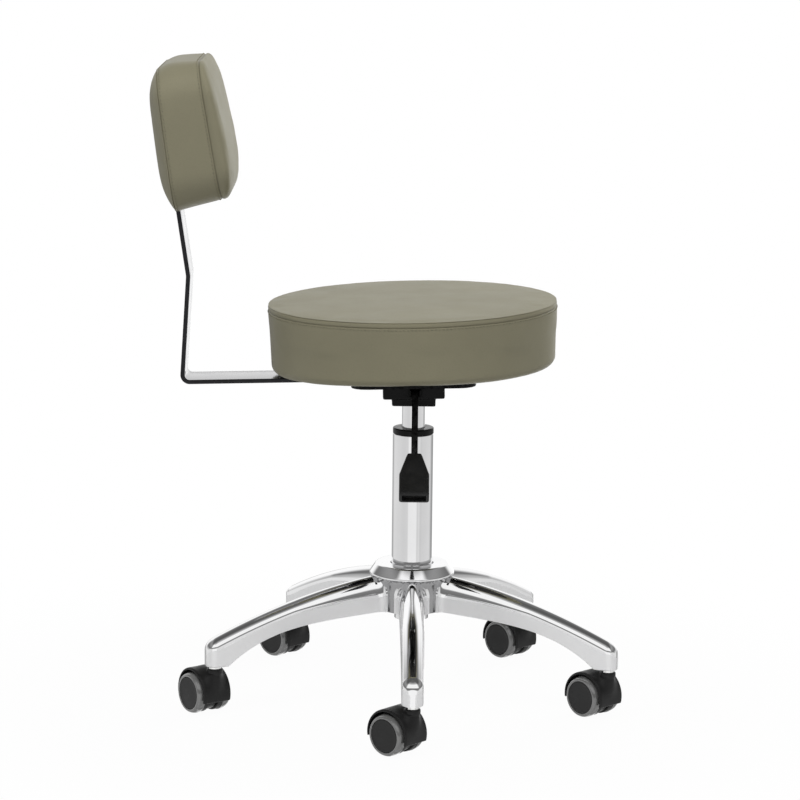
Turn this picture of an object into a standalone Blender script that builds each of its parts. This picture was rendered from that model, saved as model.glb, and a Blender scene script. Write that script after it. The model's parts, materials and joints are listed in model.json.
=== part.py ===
"""Rolling stool with a backrest.

A five-arm cast base on twin-wheel casters carries a gas lift, a pressed mechanism with a release lever,
a round upholstered seat and a boxed back pad on a bent flat bar.

Units are metres. +Z is up, +X is the way the sitter faces, and the lever points to -Y.
The origin is on the floor, under the middle of the whole stool.
"""
import math

import bmesh
import bpy
from mathutils import Matrix, Vector

# Fits shared by several pieces
GAP = 0.0003
RUNNING_GAP = 0.0003

# Steps in a bend of a strip, and in a rounded edge
BEND_STEPS = 5
ROUND_STEPS = 3

# Casters
WHEEL_RADIUS = 0.025
WHEEL_SIDES = 20
WHEEL_INNER_FACE = 0.0063
WHEEL_WIDTH = 0.0176
TYRE_DEPTH = 0.0050
TYRE_SHOULDER = 0.0050
CORE_DISH = 0.0008
CORE_FACE_WALL = 0.0035
AXLE_RADIUS = 0.004
CASTER_TRAIL = 0.0235
CASTER_HEADINGS = [math.radians(degrees) for degrees in (139.0, 134.0, 136.0, 136.0, 126.0)]
HOOD_CLEARANCE = 0.0028
HOOD_WALL = 0.0030
HOOD_HALF_WIDTH = 0.0190
HOOD_REAR_ANGLE = math.radians(-10.0)
HOOD_FRONT_ANGLE = math.radians(196.0)
WEB_HALF_WIDTH = 0.0056
WEB_RADIUS = 0.0225
NECK_RADIUS = 0.0096
NECK_RISE = 0.0026
NECK_DEPTH = 0.0145
NECK_RIDGE_HALF_WIDTH = 0.0075
NECK_REAR_ANGLE = math.radians(80.0)
NECK_FRONT_ANGLE = math.radians(178.0)
STEM_RING_RADIUS = 0.0080
STEM_RING_HEIGHT = 0.0030
STEM_UPPER_RADIUS = 0.0055
STEM_UPPER_LENGTH = 0.0220
STEM_LOWER_RADIUS = 0.0045
STEM_LOWER_LENGTH = 0.0130
STEM_SIDES = 12
HOOD_ARC_STEPS = 14
WEB_ARC_STEPS = 7

# Five-arm base
ARM_COUNT = 5
BASE_TURN = math.radians(0.6)
CASTER_CIRCLE_RADIUS = 0.2505
ARM_TIP_OVERHANG = 0.0115
ARM_TIP_HEIGHT = 0.0290
ARM_TIP_CHAMFER = 0.0070
ARM_TIP_BOSS_LENGTH = 0.0255
ARM_TIP_WIDTH = 0.0255
ARM_TIP_SHOULDER = 0.0100
ARM_ROOT_WIDTH = 0.0310
ARM_ROOT_SHOULDER = 0.0220
ARM_ROOT_SLOPE_TOP = 0.155
ARM_ROOT_SLOPE_BOTTOM = 0.090
ARM_WALL = 0.0040
ARM_STATIONS = 9
ARM_ARC_STEPS = 6
ARM_BOTTOM_CURVE = 4
HUB_LIFT = 0.0560
HUB_HEIGHT = 0.0570
HUB_WALL_RADIUS = 0.0435
HUB_RIM_RADIUS = 0.0520
HUB_TOP_RADIUS = 0.0440
HUB_RIM_DROP = 0.0115
HUB_RIM_EDGE = 0.0020
HUB_FLARE = 0.0150
HUB_SIDES = 40

# Gas lift
TUBE_RADIUS = 0.0250
TUBE_WALL = 0.0022
TUBE_SIDES = 32
TUBE_TAPER = 0.0014
TUBE_FOOT_RADIUS = 0.0210
TUBE_FOOT_DROP = 0.0130
TUBE_FLOOR_RECESS = 0.0030
TUBE_FLOOR_WALL = 0.0040
COLLAR_HEIGHT = 0.0070
COLLAR_ROUND = 0.0015
BUSH_LENGTH = 0.0660
CYLINDER_RADIUS = 0.0140
CYLINDER_WALL = 0.0020
CYLINDER_EXPOSED = 0.0300
CYLINDER_SOCKET_DEPTH = 0.0145
CYLINDER_END_WALL = 0.0080
CYLINDER_LENGTH = 0.2600
CYLINDER_ROUND = 0.0010
CYLINDER_SIDES = 28
CYLINDER_FOOT_CLEARANCE = 0.0062
LIFT_TRAVEL = 0.1300
ROD_RADIUS = 0.0050
PISTON_HEIGHT = 0.0160
PISTON_STOP_GAP = 0.0010
BEARING_RADIUS = 0.0140
BEARING_HEIGHT = 0.0060
ROD_SHOULDER_RADIUS = 0.0090
ROD_SHOULDER_HEIGHT = 0.0030
CLIP_RADIUS = 0.0090
CLIP_THICKNESS = 0.0020
CLIP_GROOVE_DEPTH = 0.0010
PIN_RADIUS = 0.0030
PIN_LENGTH = 0.0180
PIN_TIP_RADIUS = 0.0012
PIN_TIP_LENGTH = 0.0020
PIN_SIDES = 12
ROD_SIDES = 16

# Mechanism and lever
BOX_WIDTH = 0.0530
BOX_DEPTH = 0.0560
BOX_HEIGHT = 0.0180
CHEEK_WIDTH = 0.0750
CHEEK_DEPTH = 0.0680
CHEEK_DROP = 0.0083
CHEEK_HEIGHT = 0.0237
LEVER_WIDTH = 0.0076
LEVER_THICKNESS = 0.0040
LEVER_SIDE_OFFSET = 0.0016
LEVER_PIVOT_REACH = 0.0200
LEVER_HEIGHT_OVER_BOX = 0.0040
LEVER_RUN = 0.0580
LEVER_BEND_RADIUS = 0.0120
LEVER_SLOPE = math.radians(41.0)
LEVER_ARM_LENGTH = 0.1200
LEVER_NOSE = 0.0035
LEVER_SLOT_SIDE = 0.0010
LEVER_SLOT_RISE = 0.0065
LEVER_PIN_RADIUS = 0.0020
LEVER_PIN_SIDES = 10
PADDLE_LENGTH = 0.0640
PADDLE_NECK_LENGTH = 0.0320
PADDLE_NECK_WIDTH = 0.0170
PADDLE_WIDTH = 0.0355
PADDLE_NECK_THICKNESS = 0.0100
PADDLE_END_THICKNESS = 0.0180
PADDLE_CHAMFER = 0.0030
PADDLE_SOCKET_DEPTH = 0.0260
PADDLE_RECESS_MARGIN = 0.0045
PADDLE_RECESS_DEPTH = 0.0030

# Seat
SEAT_TILT = math.radians(1.6)
PLATE_WIDTH = 0.1500
PLATE_CORNER = 0.0200
PLATE_CORNER_STEPS = 4
PLATE_WEB = 0.0025
PLATE_RIM_HEIGHT = 0.0145
PLATE_RIM_WALL = 0.0030
TONGUE_REACH = 0.1600
TONGUE_THICKNESS = 0.0066
BOARD_RADIUS = 0.1500
BOARD_THICKNESS = 0.0100
SEAT_RADIUS = 0.1750
SEAT_BOTTOM_INSET = 0.0030
SEAT_WAIST_INSET = 0.0012
SEAT_BOTTOM_ROUND = 0.0090
SEAT_SEAM_HEIGHT = 0.0720
SEAT_TOP_ROUND = 0.0110
SEAT_CROWN = 0.0025
SEAT_CROWN_MIDDLE = 0.7
SEAT_SEAM_DRAW = 0.0012
SEAT_FLAT_RADIUS = 0.0400
SEAT_SIDES = 48
SCREW_RADIUS = 0.0030
SCREW_HEAD_RADIUS = 0.0058
SCREW_HEAD_HEIGHT = 0.0032
SCREW_HEAD_TAPER = 0.0012
SCREW_SIDES = 8
SEAT_SCREW_SPACING = 0.1160

# Backrest
BAR_WIDTH = 0.0600
BAR_THICKNESS = 0.0050
BAR_INNER_END = 0.0780
BAR_REACH = 0.2823
BAR_CORNER_RADIUS = 0.0085
BAR_KINK_RADIUS = 0.0150
BAR_KINK_RISE = 0.1290
BAR_LOWER_LEAN = math.radians(4.9)
BAR_UPPER_LEAN = math.radians(7.0)
BAR_TO_PAD_CENTRE = 0.1725
BAR_PAST_CENTRE = 0.0450
BAR_SCREW_INSET = 0.0180
BAR_SCREW_SPACING = 0.0300
BACK_SCREW_SPACING = 0.0500
PAD_WIDTH = 0.2000
PAD_HEIGHT = 0.1700
PAD_TAPER = 0.0015
PAD_FRONT_SLOPE = -0.020
PAD_REAR_SLOPE = 0.020
PAD_CORNER = 0.0600
PAD_BOXING = 0.0532
PAD_REAR_SEAM = 0.0000
PAD_CROWN_FRONT = 0.0180
PAD_CROWN_REAR = 0.01331
PAD_BOXING_BULGE = 0.0015
PAD_RINGS = 6
PAD_RING_GATHER = 1.6
PAD_PANEL_SHARE = 0.86
PAD_FRONT_FULLNESS = 14.0
PAD_REAR_FULLNESS = 2.4
PAD_BOXING_SHARES = (0.25, 0.5, 0.75)
PAD_CORNER_STEPS = 5
BACK_BOARD_WIDTH = 0.1500
BACK_BOARD_HEIGHT = 0.1100
BACK_BOARD_THICKNESS = 0.0090

# Heights that follow from the sizes above, floor upwards
AXLE_Z = WHEEL_RADIUS
HOOD_INNER_RADIUS = WHEEL_RADIUS + HOOD_CLEARANCE
HOOD_RADIUS = HOOD_INNER_RADIUS + HOOD_WALL
NECK_TOP_Z = AXLE_Z + HOOD_RADIUS + NECK_RISE
RING_BOTTOM_Z = NECK_TOP_Z + GAP
RING_TOP_Z = RING_BOTTOM_Z + STEM_RING_HEIGHT
ARM_TIP_BOTTOM_Z = RING_TOP_Z + GAP
ARM_TIP_TOP_Z = ARM_TIP_BOTTOM_Z + ARM_TIP_HEIGHT
HUB_BOTTOM_Z = ARM_TIP_BOTTOM_Z + HUB_LIFT
HUB_TOP_Z = HUB_BOTTOM_Z + HUB_HEIGHT
HUB_RIM_Z = HUB_TOP_Z - HUB_RIM_DROP
TUBE_FOOT_Z = HUB_BOTTOM_Z - TUBE_FOOT_DROP
TUBE_FLOOR_Z = TUBE_FOOT_Z + TUBE_FLOOR_RECESS
BEARING_BOTTOM_Z = TUBE_FLOOR_Z + TUBE_FLOOR_WALL + GAP
ROD_SHOULDER_Z = BEARING_BOTTOM_Z + BEARING_HEIGHT + GAP
CYLINDER_BOTTOM_Z = ROD_SHOULDER_Z + ROD_SHOULDER_HEIGHT + CYLINDER_FOOT_CLEARANCE
PISTON_BOTTOM_Z = CYLINDER_BOTTOM_Z + CYLINDER_END_WALL + LIFT_TRAVEL + PISTON_STOP_GAP
PISTON_TOP_Z = PISTON_BOTTOM_Z + PISTON_HEIGHT
CYLINDER_TOP_Z = CYLINDER_BOTTOM_Z + CYLINDER_LENGTH
BOX_BOTTOM_Z = CYLINDER_TOP_Z - CYLINDER_SOCKET_DEPTH
BOX_TOP_Z = BOX_BOTTOM_Z + BOX_HEIGHT
COLLAR_TOP_Z = BOX_BOTTOM_Z - CYLINDER_EXPOSED
COLLAR_BOTTOM_Z = COLLAR_TOP_Z - COLLAR_HEIGHT
TUBE_TOP_Z = COLLAR_BOTTOM_Z - GAP
LEVER_Z = BOX_TOP_Z + LEVER_HEIGHT_OVER_BOX
PIN_TOP_Z = LEVER_Z - LEVER_THICKNESS / 2 - GAP

# Heights in the tilted seat frame, whose zero is the top of the mechanism's box
PLATE_TOP = CHEEK_HEIGHT + GAP + PLATE_WEB
SEAT_BOTTOM = PLATE_TOP + GAP
BOARD_TOP = SEAT_BOTTOM + BOARD_THICKNESS
BAR_TOP = PLATE_TOP - TONGUE_THICKNESS - GAP

PARTS_NAME = "rolling_stool"
CUTTERS_NAME = "rolling_stool_cutters"


def clear_scene():
    """Remove every object so that the script can be run again."""
    for obj in list(bpy.data.objects):
        bpy.data.objects.remove(obj, do_unlink=True)


def new_collection(name):
    """Return an empty collection of that name, linked to the scene."""
    old = bpy.data.collections.get(name)
    if old:
        bpy.data.collections.remove(old)
    collection = bpy.data.collections.new(name)
    bpy.context.scene.collection.children.link(collection)
    return collection


def new_material(name, colour, roughness, metallic=0.0):
    """Return a Principled material with one colour."""
    old = bpy.data.materials.get(name)
    if old:
        bpy.data.materials.remove(old)
    material = bpy.data.materials.new(name)
    material.use_nodes = True
    shader = material.node_tree.nodes["Principled BSDF"]
    shader.inputs["Base Color"].default_value = (*colour, 1.0)
    shader.inputs["Roughness"].default_value = roughness
    shader.inputs["Metallic"].default_value = metallic
    return material


def new_empty(name, parent, location=(0.0, 0.0, 0.0), rotation=(0.0, 0.0, 0.0)):
    """Return an empty that carries other pieces."""
    empty = bpy.data.objects.new(name, None)
    empty.empty_display_size = 0.02
    PARTS.objects.link(empty)
    empty.parent = parent
    empty.location = location
    empty.rotation_euler = rotation
    return empty


def add_part(name, mesh, material, parent, location=(0.0, 0.0, 0.0), rotation=(0.0, 0.0, 0.0)):
    """Return a sub-part made of that mesh, placed under its parent."""
    part = bpy.data.objects.new(name, mesh)
    PARTS.objects.link(part)
    mesh.materials.clear()
    mesh.materials.append(material)
    mesh.shade_smooth()
    mesh.set_sharp_from_angle(angle=math.radians(35.0))
    part.parent = parent
    part.location = location
    part.rotation_euler = rotation
    return part


def add_cutter(name, mesh, parent=None, location=(0.0, 0.0, 0.0), rotation=(0.0, 0.0, 0.0)):
    """Return a hidden object that cuts or joins a sub-part."""
    cutter = bpy.data.objects.new(name, mesh)
    CUTTERS.objects.link(cutter)
    cutter.parent = parent
    cutter.location = location
    cutter.rotation_euler = rotation
    cutter.hide_render = True
    cutter.display_type = "WIRE"
    return cutter


def boolean(part, tool, operation="DIFFERENCE"):
    """Cut the tool out of the part, or join it on."""
    modifier = part.modifiers.new(tool.name, "BOOLEAN")
    modifier.operation = operation
    modifier.solver = "EXACT"
    modifier.object = tool


def mesh_from(bm, name):
    """Turn a bmesh into a mesh whose faces point out."""
    bmesh.ops.recalc_face_normals(bm, faces=bm.faces)
    mesh = bpy.data.meshes.new(name)
    bm.to_mesh(mesh)
    bm.free()
    return mesh


def box_mesh(name, low, high):
    """Return a box between two corners."""
    low = Vector(low)
    high = Vector(high)
    bm = bmesh.new()
    size = Matrix.Diagonal((*(high - low), 1.0))
    bmesh.ops.create_cube(bm, size=1.0, matrix=Matrix.Translation((low + high) / 2) @ size)
    return mesh_from(bm, name)


def cylinder_mesh(name, radius, low, high, sides, axis="Z", centre=(0.0, 0.0)):
    """Return a cylinder between two heights along X, Y or Z, at a centre across that axis."""
    turns = {
        "X": Matrix.Rotation(math.pi / 2, 4, "Y"),
        "Y": Matrix.Rotation(-math.pi / 2, 4, "X"),
        "Z": Matrix.Identity(4),
    }
    middle = (low + high) / 2
    places = {
        "X": (middle, centre[0], centre[1]),
        "Y": (centre[0], middle, centre[1]),
        "Z": (centre[0], centre[1], middle),
    }
    bm = bmesh.new()
    bmesh.ops.create_cone(
        bm,
        cap_ends=True,
        segments=sides,
        radius1=radius,
        radius2=radius,
        depth=high - low,
        matrix=Matrix.Translation(places[axis]) @ turns[axis],
    )
    return mesh_from(bm, name)


def profile_mesh(name, points, closed=False):
    """Return the edges of a turned shape's profile, given as radius and height."""
    bm = bmesh.new()
    verts = [bm.verts.new((radius, 0.0, height)) for radius, height in points]
    for first, second in zip(verts, verts[1:]):
        bm.edges.new((first, second))
    if closed:
        bm.edges.new((verts[-1], verts[0]))
    mesh = bpy.data.meshes.new(name)
    bm.to_mesh(mesh)
    bm.free()
    return mesh


def turn(obj, steps):
    """Turn an object's profile about its own Z axis."""
    screw = obj.modifiers.new("turn", "SCREW")
    screw.steps = steps
    screw.render_steps = steps
    screw.use_merge_vertices = True
    screw.merge_threshold = 0.00001
    screw.use_smooth_shade = True


def turned_part(name, points, steps, material, parent, closed=False, **place):
    """Return a turned sub-part."""
    part = add_part(name, profile_mesh(name, points, closed), material, parent, **place)
    turn(part, steps)
    return part


def flat_mesh(name, outline, half_thickness, turn_upright=None):
    """Return a flat plate: a filled outline with a thickness, in the XY plane or turned out of it."""
    curve = bpy.data.curves.new(name, "CURVE")
    curve.dimensions = "2D"
    curve.fill_mode = "BOTH"
    curve.extrude = half_thickness
    spline = curve.splines.new("POLY")
    spline.points.add(len(outline) - 1)
    for point, (x, y) in zip(spline.points, outline):
        point.co = (x, y, 0.0, 1.0)
    spline.use_cyclic_u = True
    holder = bpy.data.objects.new(name, curve)
    CUTTERS.objects.link(holder)
    graph = bpy.context.evaluated_depsgraph_get()
    mesh = bpy.data.meshes.new_from_object(holder.evaluated_get(graph))
    bpy.data.objects.remove(holder)
    bpy.data.curves.remove(curve)
    mesh.name = name
    bm = bmesh.new()
    bm.from_mesh(mesh)
    bpy.data.meshes.remove(mesh)
    bmesh.ops.remove_doubles(bm, verts=bm.verts, dist=0.000005)
    if turn_upright:
        bmesh.ops.transform(bm, matrix=turn_upright, verts=bm.verts)
    return mesh_from(bm, name)


def loft_mesh(name, rings):
    """Return a closed body through rings of equally many points, with a face on each end."""
    bm = bmesh.new()
    rows = [[bm.verts.new(point) for point in ring] for ring in rings]
    count = len(rows[0])
    for row, following in zip(rows, rows[1:]):
        for i in range(count):
            j = (i + 1) % count
            bm.faces.new((row[i], row[j], following[j], following[i]))
    bm.faces.new(list(reversed(rows[0])))
    bm.faces.new(rows[-1])
    return mesh_from(bm, name)


def joined_mesh(name, meshes):
    """Return one mesh that holds several separate bodies."""
    bm = bmesh.new()
    for mesh in meshes:
        bm.from_mesh(mesh)
        bpy.data.meshes.remove(mesh)
    return mesh_from(bm, name)


def arc(centre, radius, start, end, steps):
    """Return points on an arc, both ends included."""
    angles = [start + (end - start) * i / steps for i in range(steps + 1)]
    return [(centre[0] + radius * math.cos(a), centre[1] + radius * math.sin(a)) for a in angles]


def rounded_rectangle(half_width, half_height, radius, steps):
    """Return the outline of a rectangle with round corners, counter-clockwise."""
    x = half_width - radius
    y = half_height - radius
    corners = [(x, y), (-x, y), (-x, -y), (x, -y)]
    points = []
    for i, corner in enumerate(corners):
        points += arc(corner, radius, i * math.pi / 2, (i + 1) * math.pi / 2, steps)
    return points


def bent_strip(corners, radii, thickness, steps):
    """Return the outline of a strip of even thickness along a path with rounded bends."""
    path = [Vector(corner) for corner in corners]
    centre = [(path[0], (path[1] - path[0]).normalized())]
    for before, bend, after, radius in zip(path, path[1:], path[2:], radii):
        way_in = (bend - before).normalized()
        way_out = (after - bend).normalized()
        angle = way_in.angle_signed(way_out)
        start = bend - way_in * (radius * math.tan(abs(angle) / 2))
        side = Vector((-way_in.y, way_in.x)) * (-1.0 if angle > 0 else 1.0)
        pivot = start + side * radius
        for i in range(steps + 1):
            spin = Matrix.Rotation(-angle * i / steps, 2)
            centre.append((pivot + spin @ (start - pivot), spin @ way_in))
    centre.append((path[-1], (path[-1] - path[-2]).normalized()))
    left = [point + Vector((-way.y, way.x)) * thickness / 2 for point, way in centre]
    right = [point - Vector((-way.y, way.x)) * thickness / 2 for point, way in centre]
    return [tuple(point) for point in right + left[::-1]]


UPRIGHT_XZ = Matrix.Rotation(math.pi / 2, 4, "X")
UPRIGHT_YZ = Matrix(((0, 0, 1, 0), (1, 0, 0, 0), (0, 1, 0, 0), (0, 0, 0, 1)))


def arm_angles():
    """Return the heading of each base arm; the first points to -Y."""
    return [BASE_TURN - math.pi / 2 + 2 * math.pi * k / ARM_COUNT for k in range(ARM_COUNT)]


def arm_tip_radius():
    """Return the radius of an arm's end face."""
    return CASTER_CIRCLE_RADIUS + ARM_TIP_OVERHANG


def arm_shape(radius):
    """Return an arm's top, bottom, width and shoulder height at a radius from the column."""
    tip = arm_tip_radius()
    length = tip - HUB_WALL_RADIUS
    run = radius - HUB_WALL_RADIUS
    share = run / length
    root_top = HUB_RIM_Z - HUB_RIM_EDGE
    fall = root_top - ARM_TIP_TOP_Z
    top = root_top - ARM_ROOT_SLOPE_TOP * run - (fall - ARM_ROOT_SLOPE_TOP * length) * share ** 2
    boss_run = length - ARM_TIP_BOSS_LENGTH
    boss_share = run / boss_run
    drop = HUB_LIFT - ARM_ROOT_SLOPE_BOTTOM * boss_run
    bottom = HUB_BOTTOM_Z - ARM_ROOT_SLOPE_BOTTOM * run - drop * boss_share ** ARM_BOTTOM_CURVE
    bottom = max(bottom, ARM_TIP_BOTTOM_Z)
    width = ARM_ROOT_WIDTH + (ARM_TIP_WIDTH - ARM_ROOT_WIDTH) * share
    shoulder = ARM_ROOT_SHOULDER + (ARM_TIP_SHOULDER - ARM_ROOT_SHOULDER) * min(1.0, 2.0 * share)
    return top, bottom, width, shoulder


def arm_ring(radius, inset=0.0, bottom=None, lower_top=0.0):
    """Return an arm's section at a radius: upright sides under a round top."""
    top, low, width, shoulder = arm_shape(radius)
    top -= inset + lower_top
    half = width / 2 - inset
    low = low if bottom is None else bottom
    points = [(radius, -half, low), (radius, half, low)]
    for y, z in arc((0.0, 0.0), 1.0, 0.0, math.pi, ARM_ARC_STEPS):
        points.append((radius, half * y, top - shoulder + shoulder * z))
    return points


def around(mesh, angle):
    """Turn a mesh about the column and return it."""
    mesh.transform(Matrix.Rotation(angle, 4, "Z"))
    return mesh


def tube_radius_at(height):
    """Return the stand tube's outer radius, which tapers inside the hub."""
    share = min(1.0, max(0.0, (HUB_TOP_Z - height) / HUB_HEIGHT))
    return TUBE_RADIUS - TUBE_TAPER * share


def build_base(parent):
    """Cast five-arm base: a hub with a tapered bore, and hollow arms with a caster socket at each tip."""
    bore_top = tube_radius_at(HUB_TOP_Z) + GAP
    bore_bottom = tube_radius_at(HUB_BOTTOM_Z) + GAP
    flare_z = HUB_RIM_Z - HUB_RIM_EDGE - HUB_FLARE
    hub = [
        (bore_top, HUB_TOP_Z),
        (HUB_TOP_RADIUS, HUB_TOP_Z),
        (HUB_RIM_RADIUS, HUB_RIM_Z),
        (HUB_RIM_RADIUS, HUB_RIM_Z - HUB_RIM_EDGE),
        (HUB_WALL_RADIUS + (HUB_RIM_RADIUS - HUB_WALL_RADIUS) / 4, (HUB_RIM_Z + flare_z) / 2),
        (HUB_WALL_RADIUS, flare_z),
        (HUB_WALL_RADIUS, HUB_BOTTOM_Z),
        (bore_bottom, HUB_BOTTOM_Z),
    ]
    base = turned_part("base_casting", hub, HUB_SIDES, POLISHED_ALUMINIUM, parent, closed=True)

    tip = arm_tip_radius()
    root = (bore_top + HUB_WALL_RADIUS) / 2
    chamfer_start = tip - ARM_TIP_CHAMFER
    boss_start = tip - ARM_TIP_BOSS_LENGTH
    stations = [root + (boss_start - root) * i / (ARM_STATIONS - 1) for i in range(ARM_STATIONS)]
    inner_start = HUB_WALL_RADIUS + ARM_WALL
    inner_end = CASTER_CIRCLE_RADIUS - STEM_UPPER_RADIUS - GAP - ARM_WALL
    hollows = [inner_start + (inner_end - inner_start) * i / (ARM_STATIONS - 1) for i in range(ARM_STATIONS)]
    below = ARM_TIP_BOTTOM_Z - ARM_WALL
    arms = []
    channels = []
    sockets = []
    for angle in arm_angles():
        rings = [arm_ring(radius) for radius in stations + [chamfer_start]]
        rings.append(arm_ring(tip, lower_top=ARM_TIP_CHAMFER))
        arms.append(around(loft_mesh("arm", rings), angle))
        rings = [arm_ring(radius, inset=ARM_WALL, bottom=below) for radius in hollows]
        channels.append(around(loft_mesh("channel", rings), angle))
        socket = cylinder_mesh(
            "socket",
            STEM_UPPER_RADIUS + RUNNING_GAP,
            below,
            RING_TOP_Z + STEM_UPPER_LENGTH + GAP,
            STEM_SIDES,
            centre=(CASTER_CIRCLE_RADIUS, 0.0),
        )
        sockets.append(around(socket, angle))
    boolean(base, add_cutter("base_arms", joined_mesh("base_arms", arms), parent), "UNION")
    boolean(base, add_cutter("base_channels", joined_mesh("base_channels", channels), parent))
    boolean(base, add_cutter("base_sockets", joined_mesh("base_sockets", sockets), parent))


def build_caster(number, angle, heading, parent):
    """One twin-wheel caster on its own swivel, with a hood, an axle and two wheels."""
    name = f"caster_{number}"
    place = (CASTER_CIRCLE_RADIUS * math.cos(angle), CASTER_CIRCLE_RADIUS * math.sin(angle), 0.0)
    swivel = new_empty(f"{name}_swivel", parent, place, (0.0, 0.0, heading))

    ring_foot = RING_BOTTOM_Z
    stem = [
        (0.0, RING_TOP_Z + STEM_UPPER_LENGTH),
        (STEM_UPPER_RADIUS, RING_TOP_Z + STEM_UPPER_LENGTH),
        (STEM_UPPER_RADIUS, RING_TOP_Z),
        (STEM_RING_RADIUS, RING_TOP_Z),
        (STEM_RING_RADIUS, ring_foot),
        (STEM_LOWER_RADIUS, ring_foot),
        (STEM_LOWER_RADIUS, ring_foot - STEM_LOWER_LENGTH),
        (0.0, ring_foot - STEM_LOWER_LENGTH),
    ]
    turned_part(f"{name}_stem", stem, STEM_SIDES, BRIGHT_STEEL, swivel)

    axle_point = (CASTER_TRAIL, AXLE_Z)
    outline = arc(axle_point, HOOD_RADIUS, HOOD_REAR_ANGLE, HOOD_FRONT_ANGLE, HOOD_ARC_STEPS)
    outline += arc(axle_point, WEB_RADIUS, HOOD_FRONT_ANGLE, HOOD_REAR_ANGLE + 2 * math.pi, WEB_ARC_STEPS)
    shell = flat_mesh("hood", outline, HOOD_HALF_WIDTH, UPRIGHT_XZ)
    hood = add_part(f"{name}_hood", shell, BLACK_NYLON, swivel)
    ridge = flat_mesh("ridge", neck_outline(), NECK_RIDGE_HALF_WIDTH, UPRIGHT_XZ)
    boolean(hood, add_cutter(f"{name}_ridge", ridge, swivel), "UNION")
    neck = cylinder_mesh("neck", NECK_RADIUS, NECK_TOP_Z - NECK_DEPTH, NECK_TOP_Z, STEM_SIDES)
    boolean(hood, add_cutter(f"{name}_neck", neck, swivel), "UNION")
    wells = [
        cylinder_mesh("well", HOOD_INNER_RADIUS, low, high, WHEEL_SIDES, "Y", axle_point)
        for low, high in (
            (WEB_HALF_WIDTH, 2 * HOOD_HALF_WIDTH),
            (-2 * HOOD_HALF_WIDTH, -WEB_HALF_WIDTH),
        )
    ]
    boolean(hood, add_cutter(f"{name}_wells", joined_mesh("wells", wells), swivel))
    bores = [
        cylinder_mesh("axle_bore", AXLE_RADIUS + GAP, -WEB_RADIUS, WEB_RADIUS, STEM_SIDES, "Y", axle_point),
        cylinder_mesh(
            "stem_bore",
            STEM_LOWER_RADIUS + GAP,
            ring_foot - STEM_LOWER_LENGTH - GAP,
            NECK_TOP_Z + GAP,
            STEM_SIDES,
        ),
    ]
    boolean(hood, add_cutter(f"{name}_bores", joined_mesh("bores", bores), swivel))

    outer_face = WHEEL_INNER_FACE + WHEEL_WIDTH
    axle_end = outer_face - CORE_DISH - CORE_FACE_WALL - GAP
    axle = cylinder_mesh("axle", AXLE_RADIUS, -axle_end, axle_end, STEM_SIDES, "Y", axle_point)
    add_part(f"{name}_axle", axle, BRIGHT_STEEL, swivel)
    for side, turn_out in (("near", -math.pi / 2), ("far", math.pi / 2)):
        hub = new_empty(f"{name}_{side}_spin", swivel, (CASTER_TRAIL, 0.0, AXLE_Z), (turn_out, 0.0, 0.0))
        build_wheel(f"{name}_{side}", hub, outer_face, axle_end)


def neck_outline():
    """Return the ridge that runs from the hood's crown up to the neck and down its front."""
    sunk = HOOD_RADIUS - HOOD_WALL / 2
    front = -NECK_RIDGE_HALF_WIDTH
    top = NECK_TOP_Z - GAP
    rear_foot = (CASTER_TRAIL + sunk * math.cos(NECK_REAR_ANGLE), AXLE_Z + sunk * math.sin(NECK_REAR_ANGLE))
    front_foot = (CASTER_TRAIL + sunk * math.cos(NECK_FRONT_ANGLE), AXLE_Z + sunk * math.sin(NECK_FRONT_ANGLE))
    return [
        (front, top), (front, NECK_TOP_Z - NECK_DEPTH), front_foot,
        (CASTER_TRAIL, AXLE_Z), rear_foot, (NECK_RIDGE_HALF_WIDTH, top),
    ]


def build_wheel(name, spin, outer_face, axle_end):
    """A wheel core with a blind axle bore, and the soft tyre around it; a tread facet faces the floor."""
    facet = math.pi / WHEEL_SIDES
    tread = WHEEL_RADIUS / math.cos(facet)
    rim = tread - TYRE_DEPTH
    core_face = outer_face - CORE_DISH
    bore = AXLE_RADIUS + RUNNING_GAP
    core = [
        (0.0, core_face),
        (rim - GAP - CORE_DISH, core_face),
        (rim - GAP, core_face - CORE_DISH),
        (rim - GAP, WHEEL_INNER_FACE),
        (bore, WHEEL_INNER_FACE),
        (bore, axle_end + GAP),
        (0.0, axle_end + GAP),
    ]
    tyre = [
        (rim, core_face),
        (rim + TYRE_DEPTH / 3, outer_face),
        (tread - TYRE_DEPTH / 5, outer_face - TYRE_SHOULDER / 2),
        (tread, outer_face - TYRE_SHOULDER),
        (tread, WHEEL_INNER_FACE + TYRE_SHOULDER / 2),
        (tread - TYRE_DEPTH / 3, WHEEL_INNER_FACE),
        (rim, WHEEL_INNER_FACE),
    ]
    turned_part(f"{name}_core", core, WHEEL_SIDES, BLACK_NYLON, spin, rotation=(0.0, 0.0, facet))
    turned_part(f"{name}_tyre", tyre, WHEEL_SIDES, GREY_RUBBER, spin, closed=True, rotation=(0.0, 0.0, facet))


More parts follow.
